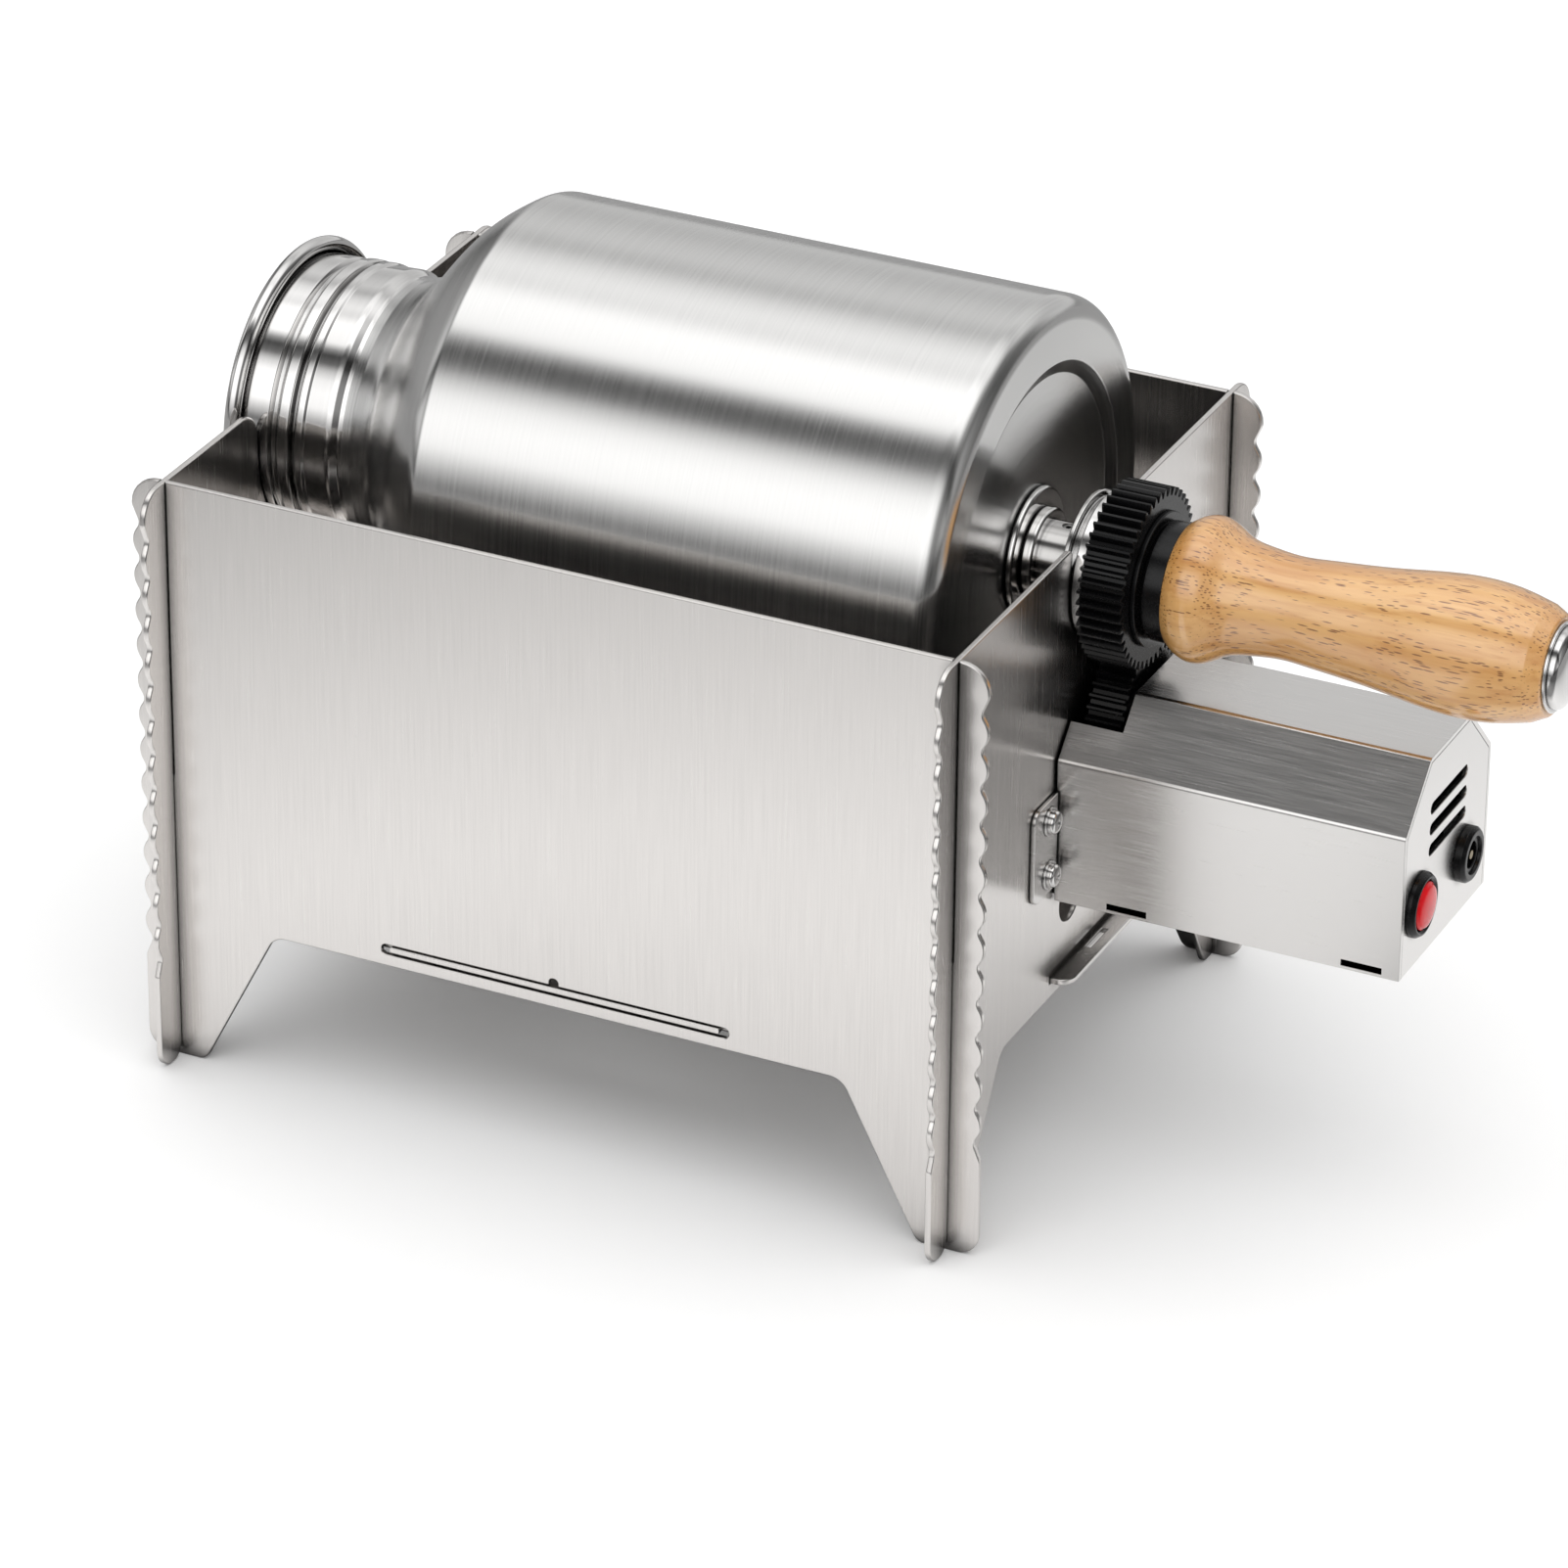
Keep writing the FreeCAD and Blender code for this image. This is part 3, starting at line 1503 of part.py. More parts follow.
def panel_nut(name, flats, bore, back, up):
    loops = [hexagon(none, none, flats), circle(none, none, bore)]
    extrude(
        name,
        "YZ_Plane",
        [("Pad", loops, none, size.panel_nut_height)],
        across=place.cover_inside - size.panel_nut_height,
        back=back,
        up=up,
    )


def power_inlet():
    """A round socket for a plug with a sleeve and a centre pin."""
    front = size.jack_flange_height
    end = -size.cover_sheet - size.jack_barrel_length
    floor = front - size.jack_bore_depth
    fitting(
        "inlet_body",
        [
            (end, none),
            (floor, none),
            (floor, size.jack_bore_radius),
            (front, size.jack_bore_radius),
            (front, size.jack_flange_radius),
            (none, size.jack_flange_radius),
            (none, size.jack_barrel_radius),
            (end, size.jack_barrel_radius),
        ],
        place.jack_y,
        place.jack_height,
    )
    fitting(
        "inlet_pin",
        [
            (floor, none),
            (front - size.jack_pin_inset, none),
            (front - size.jack_pin_inset, size.jack_pin_radius),
            (floor, size.jack_pin_radius),
        ],
        place.jack_y,
        place.jack_height,
    )
    bore = size.jack_barrel_radius + size.spigot_play
    panel_nut("inlet_nut", size.jack_nut_flats, bore, place.jack_y, place.jack_height)


def power_button():
    """A push button: a bezel with a barrel behind the plate, a cap and a nut."""
    front = size.bezel_height
    end = -size.cover_sheet - size.button_barrel_length
    floor = front - size.button_bore_depth
    bore = size.button_cap_radius + size.button_cap_gap
    fitting(
        "button_body",
        [
            (end, none),
            (floor, none),
            (floor, bore),
            (front, bore),
            (front, size.bezel_radius),
            (none, size.bezel_radius),
            (none, size.button_barrel_radius),
            (end, size.button_barrel_radius),
        ],
        place.button_y,
        place.button_height,
    )
    edge = size.button_cap_height
    fitting(
        "button_cap",
        [
            (edge - size.button_cap_depth - size.button_dome_height, none),
            (edge + size.button_dome_height, none),
            (edge + size.button_dome_height, size.button_cap_radius / 2),
            (edge, size.button_cap_radius),
            (edge - size.button_cap_depth - size.button_dome_height, size.button_cap_radius),
        ],
        place.button_y,
        place.button_height,
    )
    bore = size.button_barrel_radius + size.spigot_play
    panel_nut("button_nut", size.button_nut_flats, bore, place.button_y, place.button_height)


def wire_path(points, bend):
    """Straight runs joined by arcs of one bend radius."""
    edges = []
    last = points[0]
    for index in range(1, len(points) - 1):
        corner = points[index]
        before = (points[index - 1] - corner).normalize()
        after = (points[index + 1] - corner).normalize()
        half = before.getAngle(after) / 2
        trim = bend / math.tan(half)
        start = corner + before * trim
        end = corner + after * trim
        deepest = corner + (before + after).normalize() * (bend / math.sin(half) - bend)
        edges.append(Part.LineSegment(last, start).toShape())
        edges.append(Part.Arc(start, deepest, end).toShape())
        last = end
    edges.append(Part.LineSegment(last, points[-1]).toShape())
    return Part.Wire(edges)


def lead_wires():
    """Leads from the motor to the inlet and the button, and one between those two."""
    motor = place.motor_end
    button = place.cover_inside - size.button_barrel_length
    inlet = place.cover_inside - size.jack_barrel_length
    half_gap = (button - motor) / 2
    turn = motor + half_gap
    motor_side = size.motor_terminal_offset
    offset = size.terminal_offset
    inlet_top = (place.jack_y + offset, place.jack_height + offset)
    inlet_low = (place.jack_y - offset, place.jack_height - offset)
    button_top = (place.button_y + offset, place.button_height + offset)
    button_low = (place.button_y + offset, place.button_height - offset)
    leads = [
        (motor, (place.motor_y + motor_side, place.gearbox_height), inlet, inlet_top),
        (motor, (place.motor_y - motor_side, place.gearbox_height), button, button_top),
        (button, button_low, inlet, inlet_low),
    ]
    routes = []
    for start, from_spot, end, to_spot in leads:
        routes.append([(start, *from_spot), (turn, *from_spot), (turn, *to_spot), (end, *to_spot)])
    tubes = []
    for route in routes:
        points = [Vector(number(x), number(y), number(z)) for x, y, z in route]
        path = wire_path(points, size.wire_bend.value)
        direction = (points[1] - points[0]).normalize()
        ring_edge = Part.Circle(points[0], direction, size.wire_radius.value).toShape()
        tubes.append(path.makePipeShell([Part.Wire(ring_edge)], True, False))
    grouped("lead_wires", tubes, none)


def build():
    long_panel("front_panel", -1)
    long_panel("back_panel", 1)
    left_panel()
    right_panel()
    burner_shelf()
    drum_shell()
    drum_neck()
    drum_vanes()
    axle_rings()
    drum_hub()
    hub_set_screw()
    bearing()
    bearing_balls()
    bearing_shields()
    drum_lock_nut()
    handle_bolt()
    drum_gear()
    motor_gear()
    motor_shaft()
    wooden_handle()
    motor_cover()
    motor_floor()
    cover_fastenings()
    motor_bracket()
    bracket_screws()
    motor_screws()
    gearbox()
    motor_can()
    power_inlet()
    power_button()
    lead_wires()
    doc.recompute()


def check():
    """Stops with a list if any object failed or any piece has no sound shape."""
    broken = [item.Name for item in doc.Objects if {"Invalid", "Error"} & set(item.State)]
    for piece in nodes:
        if piece.Shape.isNull() or not piece.Shape.isValid() or not piece.Shape.Solids:
            broken.append(piece.Label)
    if broken:
        raise RuntimeError("failed: " + ", ".join(broken))


def export():
    os.makedirs("parts", exist_ok=True)
    for piece in nodes:
        piece.Shape.exportStep(os.path.join("parts", piece.Label + ".step"))
        print(piece.Label, len(piece.Shape.Solids), round(piece.Shape.Volume, 1))


build()
check()
export()
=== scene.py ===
import json
import math
from types import SimpleNamespace

import bmesh
import bpy
import numpy as np
from bpy.props import FloatProperty, FloatVectorProperty, PointerProperty
from mathutils import Matrix, Vector
from mathutils.geometry import delaunay_2d_cdt


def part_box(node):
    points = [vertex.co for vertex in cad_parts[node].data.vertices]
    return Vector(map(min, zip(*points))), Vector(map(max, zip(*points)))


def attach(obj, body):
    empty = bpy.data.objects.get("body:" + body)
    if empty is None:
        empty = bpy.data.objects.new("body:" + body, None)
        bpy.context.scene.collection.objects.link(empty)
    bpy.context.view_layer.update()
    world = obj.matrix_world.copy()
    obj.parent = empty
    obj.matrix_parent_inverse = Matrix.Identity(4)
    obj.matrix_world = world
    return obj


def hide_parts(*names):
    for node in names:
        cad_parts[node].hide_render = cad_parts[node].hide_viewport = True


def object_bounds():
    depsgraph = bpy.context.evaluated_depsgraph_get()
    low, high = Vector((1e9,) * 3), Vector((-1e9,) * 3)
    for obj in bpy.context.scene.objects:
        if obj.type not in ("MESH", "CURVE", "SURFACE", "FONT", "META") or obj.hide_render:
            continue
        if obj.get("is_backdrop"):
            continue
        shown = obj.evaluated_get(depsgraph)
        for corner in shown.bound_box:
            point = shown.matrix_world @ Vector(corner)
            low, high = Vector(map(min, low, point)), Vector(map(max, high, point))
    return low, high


bl_info = {
    "name": "Drum coffee roaster",
    "version": (1, 0, 0),
    "blender": (4, 5, 0),
    "location": "View3D > Sidebar > Roaster",
    "description": "Builds the dressed pieces of a drum coffee roaster on its packed frame",
    "category": "Object",
}

# Shapes are worked out in millimetres, with x counted from the middle of the frame.
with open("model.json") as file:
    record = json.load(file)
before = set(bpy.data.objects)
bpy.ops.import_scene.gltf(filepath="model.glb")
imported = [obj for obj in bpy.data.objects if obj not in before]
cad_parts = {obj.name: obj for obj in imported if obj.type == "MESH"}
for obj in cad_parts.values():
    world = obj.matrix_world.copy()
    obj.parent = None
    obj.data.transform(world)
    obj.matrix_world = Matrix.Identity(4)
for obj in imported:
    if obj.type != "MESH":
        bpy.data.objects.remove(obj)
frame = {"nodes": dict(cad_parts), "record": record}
packed_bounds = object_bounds()
MM = 0.001
NEAR = 1e-5
UV_NAME = "UVMap"
EDGE_STEPS = 3
SCALLOPS = 12
DRUM_TEETH = 48
PINION_TEETH = 38
PRESSURE_ANGLE = math.radians(20)
FLANK_STEPS = 4

front_low, front_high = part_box("front_panel")
MIDDLE = (front_low.x + front_high.x) / 2

# Shares of the shoulder's length and rise, and of the handle's length and greatest radius
SHOULDER_SHARES = (
    (0.0, 0.0), (0.177, 0.07), (0.306, 0.22), (0.419, 0.40), (0.535, 0.576),
    (0.648, 0.727), (0.768, 0.848), (0.884, 0.943), (1.0, 1.0),
)
HANDLE_SHARES = (
    (0.0, 0.85), (0.03, 0.96), (0.07, 1.0), (0.15, 0.81), (0.21, 0.74), (0.29, 0.70),
    (0.37, 0.725), (0.54, 0.81), (0.735, 0.935), (0.87, 0.905), (0.96, 0.795),
)
HANDLE_END_SHARE = 0.68


def span(node):
    """A node's box in millimetres: its ends along the drum, front and back, base and top."""
    low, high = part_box(node)
    return SimpleNamespace(
        left=(low.x - MIDDLE) / MM,
        right=(high.x - MIDDLE) / MM,
        front=low.y / MM,
        back=high.y / MM,
        base=low.z / MM,
        top=high.z / MM,
        across=(low.y + high.y) / 2 / MM,
        up=(low.z + high.z) / 2 / MM,
        radius=(high.z - low.z) / 2 / MM,
    )


AXIS = span("drum_shell").up


def in_millimetres(group):
    """The lengths of a property group as plain numbers of millimetres."""
    return SimpleNamespace(**{name: getattr(group, name) / MM for name in group.__annotations__})


def length(name, millimetres, description):
    """A length of a property group, given in millimetres."""
    return FloatProperty(
        name=name, description=description, default=millimetres * MM, min=0.0, unit="LENGTH"
    )


def colour(name, value, description):
    """A colour of a property group, in linear light."""
    return FloatVectorProperty(
        name=name, description=description, default=value, min=0.0, max=1.0, subtype="COLOR"
    )


# Outlines and surfaces


def unit(steps):
    size = np.linalg.norm(steps, axis=-1, keepdims=True)
    return steps / np.where(size > 0, size, 1)


def rounded(corners, steps=7):
    """A closed outline through corners (across, up, radius): each corner gives way to the arc of
    its radius that touches both of its sides, sampled at even angles."""
    corners = np.array(corners, float)
    spot, radius = corners[:, :2], corners[:, 2:]
    before = unit(np.roll(spot, 1, 0) - spot)
    after = unit(np.roll(spot, -1, 0) - spot)
    half = np.arccos(np.clip((before * after).sum(1, keepdims=True), -1, 1)) / 2
    centre = spot + unit(before + after) * radius / np.sin(half)
    trim = radius / np.tan(half)
    first = spot + before * trim - centre
    last = spot + after * trim - centre
    turn = np.arctan2(first[:, 0] * last[:, 1] - first[:, 1] * last[:, 0], (first * last).sum(1))
    angle = np.arctan2(first[:, 1], first[:, 0])[:, None]
    angle = angle + turn[:, None] * np.linspace(0, 1, steps + 1)
    arcs = centre[:, None] + radius[:, None] * np.stack([np.cos(angle), np.sin(angle)], -1)
    points = arcs.reshape(-1, 2)
    return points[np.linalg.norm(points - np.roll(points, 1, 0), axis=1) > NEAR]


def circle(across, up, radius, count=48):
    """A round outline: its points lie at even angles about (across, up)."""
    angle = np.arange(count) * 2 * np.pi / count
    return np.stack([across + radius * np.cos(angle), up + radius * np.sin(angle)], 1)


def slot(across, up, half, radius):
    """A level slot with round ends, half long each way."""
    low, high = up - radius, up + radius
    left, right = across - half, across + half
    corners = [(right, low), (right, high), (left, high), (left, low)]
    return rounded([(*corner, radius) for corner in corners])


def block(left, right, low, high):
    return rounded([(left, low, 0), (right, low, 0), (right, high, 0), (left, high, 0)])


def smooth(points, steps, first=None, last=None):
    """A curve through points: between two of them each coordinate is a cubic of the chord's
    length, and slope and bend agree where two cubics meet. Its end directions are first and
    last, or it ends without bend."""
    points = np.array(points, float)
    run = np.linalg.norm(np.diff(points, axis=0), axis=1)[:, None]
    chord = np.diff(points, axis=0) / run
    count = len(points)
    inner = np.arange(1, count - 1)
    system = np.zeros((count, count))
    system[inner, inner - 1] = run[1:, 0]
    system[inner, inner] = 2 * (run[:-1, 0] + run[1:, 0])
    system[inner, inner + 1] = run[:-1, 0]
    wanted = np.zeros((count, 2))
    wanted[1:-1] = 3 * (run[1:] * chord[:-1] + run[:-1] * chord[1:])
    for end, neighbour, direction, slope in ((0, 1, first, chord[0]), (-1, -2, last, chord[-1])):
        system[end, end] = 1 if direction is not None else 2
        system[end, neighbour] = 0 if direction is not None else 1
        wanted[end] = direction if direction is not None else 3 * slope
    slopes = np.linalg.solve(system, wanted)
    t = np.linspace(0, 1, steps, endpoint=False)[None, :, None]
    start, end = points[:-1, None], points[1:, None]
    leave, arrive = (run * slopes[:-1])[:, None], (run * slopes[1:])[:, None]
    curve = start * (2 * t**3 - 3 * t**2 + 1) + leave * (t**3 - 2 * t**2 + t)
    curve = curve + end * (3 * t**2 - 2 * t**3) + arrive * (t**3 - t**2)
    return np.concatenate([curve.reshape(-1, 2), points[-1:]])


def corners_of(curve):
    """The points of a curve as corners with no radius."""
    return [(across, up, 0) for across, up in curve.tolist()]


def joined(*shapes):
    """Several surfaces as one: the faces of each count on from the points of those before it."""
    starts = np.cumsum([0] + [len(points) for points, _, _ in shapes[:-1]])
    points = np.concatenate([shape[0] for shape in shapes])
    faces = [quads + start for shape, start in zip(shapes, starts) for quads in shape[1]]
    return points, faces, np.concatenate([shape[2] for shape in shapes])


def ringed(along, radius, across, up, closed):
    """Rings about a line along X: the point of ring i at angle a lies at (along[i, a], across +
    radius[i, a] cos a, up + radius[i, a] sin a). The map runs round and along the rings."""
    along, radius = np.broadcast_arrays(along, radius)
    rows, count = radius.shape
    angle = np.arange(count) * 2 * np.pi / count
    places = [along, across + radius * np.cos(angle), up + radius * np.sin(angle)]
    points = np.stack(places, -1).reshape(-1, 3)
    index = np.arange(rows * count).reshape(rows, count)
    right = np.roll(index, -1, 1)
    quads = np.stack([index, right, np.roll(right, -1, 0), np.roll(index, -1, 0)], -1)
    low = index if closed else index[:-1]
    quads = quads[: len(low)].reshape(-1, 4)
    step = np.hypot(np.diff(along[:, 0]), np.diff(radius[:, 0]))
    far = np.concatenate([[0], np.cumsum(step), [step.sum() + step.max()]])
    column, row = np.meshgrid(np.arange(count), np.arange(len(low)))
    turn = np.stack([column, column + 1, column + 1, column], -1) * 2 * np.pi / count
    run = np.stack([far[row], far[row], far[row + 1], far[row + 1]], -1)
    uv = np.stack([turn * radius.max(), run], -1).reshape(-1, 2) * MM
    return points, [quads], uv


def turned(profile, count=96, across=0.0, up=AXIS):
    """A profile (along, radius) carried round a line along X. A profile that starts on the line
    also ends on it, and any other is closed."""
    profile = np.asarray(profile, float)[:, :2]
    closed = profile[0, 1] > NEAR
    radius = np.repeat(profile[:, 1:], count, 1)
    return ringed(profile[:, :1], radius, across, up, closed)


def filled(points, counts):
    """Triangles inside loops laid end to end: a Delaunay net that keeps the loops' sides, less
    each triangle whose middle has an even number of sides to its right."""
    ends = np.cumsum(counts)
    after = np.arange(1, len(points) + 1)
    after[ends - 1] = ends - counts
    sides = np.stack([np.arange(len(points)), after], 1)
    spots = [Vector(spot) for spot in points.tolist()]
    _, _, faces, names, _, _ = delaunay_2d_cdt(spots, sides.tolist(), [], 0, NEAR)
    triangles = np.array([name[0] for name in names])[np.array(faces)]
    middle = points[triangles].mean(1)
    across, up = middle[:, :1], middle[:, 1:]
    (one_across, one_up), (other_across, other_up) = points[sides[:, 0]].T, points[sides[:, 1]].T
    crosses = (one_up > up) != (other_up > up)
    rise = np.where(other_up == one_up, 1, other_up - one_up)
    beyond = across < one_across + (up - one_up) * (other_across - one_across) / rise
    return triangles[(crosses & beyond).sum(1) % 2 == 1]


def plate(loops, thickness, edge):
    """A flat plate (across, up, depth) inside its first loop and outside the others. Its edges
    are quarter circles: at angle a the rim lies edge (1 - sin a) inside its loop and
    edge (1 - cos a) from the face."""
    turn = np.linspace(0, np.pi / 2, EDGE_STEPS + 1)
    inset = edge * (1 - np.sin(turn))
    depth = edge * (1 - np.cos(turn))
    inset = np.concatenate([inset, inset[::-1]])[:, None, None]
    depth = np.concatenate([depth, thickness - depth[::-1]])[:, None, None]
    points, walls, lower, upper, start = [], [], [], [], 0
    for number, loop in enumerate(loops):
        after = np.roll(loop, -1, 0)
        area = (loop[:, 0] * after[:, 1] - loop[:, 1] * after[:, 0]).sum()
        if (area > 0) != (number == 0):
            loop = loop[::-1]
        along = unit(np.roll(loop, -1, 0) - loop)
        left = np.stack([-along[:, 1], along[:, 0]], 1)
        last = np.roll(left, 1, 0)
        inward = (left + last) / (1 + (left * last).sum(1, keepdims=True))
        rims = loop + inset * inward
        deep = np.broadcast_to(depth, (len(depth), len(loop), 1))
        points.append(np.concatenate([rims, deep], 2).reshape(-1, 3))
        index = np.arange(len(depth) * len(loop)).reshape(len(depth), -1) + start
        right = np.roll(index, -1, 1)
        walls.append(np.stack([index[:-1], right[:-1], right[1:], index[1:]], -1).reshape(-1, 4))
        lower.append(index[0])
        upper.append(index[-1])
        start += index.size
    points = np.concatenate(points)
    inside = filled(points[np.concatenate(lower)][:, :2], [len(rim) for rim in lower])
    faces = [np.concatenate(walls), np.concatenate(lower)[inside], np.concatenate(upper)[inside]]
    flat = points[:, :2] + points[:, 2:] / 2
    corners = np.concatenate([group.ravel() for group in faces])
    return points, faces, flat[corners] * MM


def set_up(shape, order, start):
    """Turns a plate's (across, up, depth) into places: order says which of them x, y and z take,
    and start is added."""
    points, faces, uv = shape
    return points[:, order] + np.array(start), faces, uv


ALONG_X = [0, 2, 1]
ALONG_Y = [2, 0, 1]
LEVEL = [0, 1, 2]


def tidy(mesh, sharp):
    """Merges doubles, points the faces outwards and shades all but the sharp edges smooth."""
    work = bmesh.new()
    work.from_mesh(mesh)
    bmesh.ops.remove_doubles(work, verts=work.verts, dist=NEAR * MM)
    bmesh.ops.recalc_face_normals(work, faces=work.faces)
    work.to_mesh(mesh)
    work.free()
    mesh.shade_smooth()
    mesh.set_sharp_from_angle(angle=math.radians(sharp))


finishes = {}


def make(name, shape, body, place, nodes, edge=0.0, sharp=40.0):
    """A surface as a piece that rides on a body, has the finish of its slot and stands for its
    nodes. Where edge is given, its sharp edges are rounded by so many millimetres."""
    points, faces, uv = shape
    mesh = bpy.data.meshes.new(name)
    world = (points + np.array([MIDDLE / MM, 0, 0])) * MM
    rows = [row for group in faces for row in group.tolist()]
    mesh.from_pydata(world.tolist(), [], rows)
    layer = mesh.uv_layers.new(name=UV_NAME)
    layer.data.foreach_set("uv", np.asarray(uv, np.float32).ravel())
    tidy(mesh, sharp)
    mesh.materials.append(finishes[place])
    made = bpy.data.objects.new(name, mesh)
    bpy.context.scene.collection.objects.link(made)
    if edge:
        bevel = made.modifiers.new("Rounded edges", "BEVEL")
        bevel.width = edge * MM
        bevel.segments = EDGE_STEPS
        bevel.limit_method = "ANGLE"
        bevel.angle_limit = math.radians(sharp)
    normals = made.modifiers.new("Flat faces", "WEIGHTED_NORMAL")
    normals.keep_sharp = True
    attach(made, body)
    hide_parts(*nodes)


# Finishes


class Nodes:
    """The nodes of a tree, written as calls."""

    def __init__(self, tree):
        self.tree = tree

    def feed(self, socket, value):
        if isinstance(value, bpy.types.NodeSocket):
            self.tree.links.new(value, socket)
        else:
            socket.default_value = value

    def node(self, kind, output, inputs, **settings):
        """A new node with its settings and inputs; gives back the named output."""
        made = self.tree.nodes.new("ShaderNode" + kind)
        for name, value in settings.items():
            setattr(made, name, value)
        for name, value in inputs.items():
            self.feed(made.inputs[name], value)
        return made.outputs[output]

    def math(self, operation, *values):
        return self.node("Math", 0, dict(enumerate(values)), operation=operation)

    def vector(self, operation, one, other):
        return self.node("VectorMath", 0, {0: one, 1: other}, operation=operation)

    def parts(self, vector):
        made = self.tree.nodes.new("ShaderNodeSeparateXYZ")
        self.feed(made.inputs[0], vector)
        return made.outputs

    def ranged(self, value, low, high, start=0.3, end=0.7):
        """Carries a value from start..end to low..high."""
        inputs = {"From Min": start, "From Max": end, "To Min": low, "To Max": high}
        return self.node("MapRange", 0, {"Value": value, **inputs})

    def blend(self, share, one, other):
        """A colour between one and other."""
        inputs = {0: share, 6: one, 7: other}
        return self.node("Mix", 2, inputs, data_type="RGBA")

    def ramp(self, share, stops):
        """Grey over a share from 0 to 1, straight between its stops."""
        made = self.tree.nodes.new("ShaderNodeValToRGB")
        self.feed(made.inputs[0], share)
        elements = made.color_ramp.elements
        for number, (place, value) in enumerate(stops):
            element = elements[number] if number < 2 else elements.new(place)
            element.position = place
            element.color = (value, value, value, 1)
        return made.outputs[0]

    def ray(self, kind):
        """1 for a ray of that kind and 0 for the others."""
        return self.node("LightPath", f"Is {kind} Ray", {})


class Recipe(Nodes):
    """A material's nodes."""

    def __init__(self, name):
        self.material = bpy.data.materials.new(name)
        self.material.use_nodes = True
        super().__init__(self.material.node_tree)
        self.shader = self.tree.nodes["Principled BSDF"]

    def set(self, **values):
        """Sets inputs of the shader, named in lower case with underscores."""
        for name, value in values.items():
            title = name.replace("_", " ").title().replace("Ior", "IOR")
            self.feed(self.shader.inputs[title], value)

    def spots(self):
        """Object coordinates in metres, counted from the drum's axis at the frame's middle."""
        where = self.node("TexCoord", "Object", {})
        return self.vector("SUBTRACT", where, (MIDDLE, 0, AXIS * MM))

    def noise(self, vector, detail=2.0, roughness=0.55, w=None):
        inputs = {"Vector": vector, "Scale": 1.0, "Detail": detail, "Roughness": roughness}
        if w is None:
            return self.node("TexNoise", 0, inputs, noise_dimensions="3D")
        inputs["W"] = w
        return self.node("TexNoise", 0, inputs, noise_dimensions="4D")

    def scaled(self, vector, scale):
        return self.vector("MULTIPLY", vector, scale)

    def bump(self, height, distance):
        inputs = {"Height": height, "Distance": distance, "Strength": 1.0}
        self.set(normal=self.node("Bump", 0, inputs))


def shade(value, factor):
    return (*(part * factor for part in value), 1.0)


def straight_grain(recipe, scale):
    """Fine streaks along one axis: noise of coordinates that are scaled least along it."""
    return recipe.noise(recipe.scaled(recipe.spots(), scale), 3.0)


def turned_grain(recipe, scale):
    """Fine streaks round the drum's axis: noise of x and of the distance from the axis, scaled
    finely, and of y and z, scaled slowly."""
    fine, slow = scale
    x, y, z = recipe.parts(recipe.spots())
    squares = [recipe.math("MULTIPLY", part, part) for part in (y, z)]
    far = recipe.math("SQRT", recipe.math("ADD", *squares))
    scales = {"X": (x, fine), "Y": (far, fine), "Z": (y, slow)}
    inputs = {name: recipe.math("MULTIPLY", *pair) for name, pair in scales.items()}
    vector = recipe.node("CombineXYZ", 0, inputs)
    return recipe.noise(vector, 3.0, w=recipe.math("MULTIPLY", z, slow))


def steel(
    name, tone, roughness, grain, scale, contrast, depth, anisotropy=0.0, turn=0.0, reach=2.5
):
    """Bare steel: streaks of the grain vary its tone, its roughness and its height, and painted
    shade darkens its base colour in grooves and corners that ambient occlusion finds within reach."""
    recipe = Recipe(name)
    streaks = grain(recipe, scale)
    # Painted shade: ambient occlusion within reach millimetres sets where the base colour darkens.
    ao_painted_shade_mask = recipe.node("AmbientOcclusion", "AO", {"Distance": reach * MM}, samples=8)
    ao_painted_shade_mask = recipe.ranged(ao_painted_shade_mask, 0, 1, 0.35, 0.85)
    unshaded_tone = recipe.blend(
        recipe.ranged(streaks, 0, 1), shade(tone, 1 - contrast), shade(tone, 1 + contrast)
    )
    # The base colour runs from a painted shaded copy at 0.3 of the tone to the unshaded grain
    # tone.
    recipe.set(
        base_color=recipe.blend(ao_painted_shade_mask, shade(tone, 0.3), unshaded_tone),
        metallic=1.0,
        roughness=recipe.ranged(streaks, roughness * 0.85, roughness * 1.15),
    )
    if anisotropy:
        recipe.set(anisotropic=anisotropy, anisotropic_rotation=turn)
        recipe.set(tangent=recipe.node("Tangent", 0, {}, direction_type="UV_MAP", uv_map=UV_NAME))
    recipe.bump(streaks, depth * MM)
    return recipe.material


def plastic(name, tone, roughness, depth, coat=0.0, specular=0.5):
    """Moulded plastic: a fine even speckle varies its gloss and height."""
    recipe = Recipe(name)
    speckle = recipe.noise(recipe.scaled(recipe.spots(), (2600, 2600, 2600)), 2.0)
    clouds = recipe.noise(recipe.scaled(recipe.spots(), (90, 90, 90)), 2.0)
    recipe.set(
        base_color=recipe.blend(recipe.ranged(clouds, 0, 1), shade(tone, 0.85), shade(tone, 1.15)),
        roughness=recipe.ranged(speckle, roughness * 0.8, roughness * 1.2),
        specular_ior_level=specular,
        coat_weight=coat,
        coat_roughness=0.08,
    )
    recipe.bump(speckle, depth * MM)
    return recipe.material


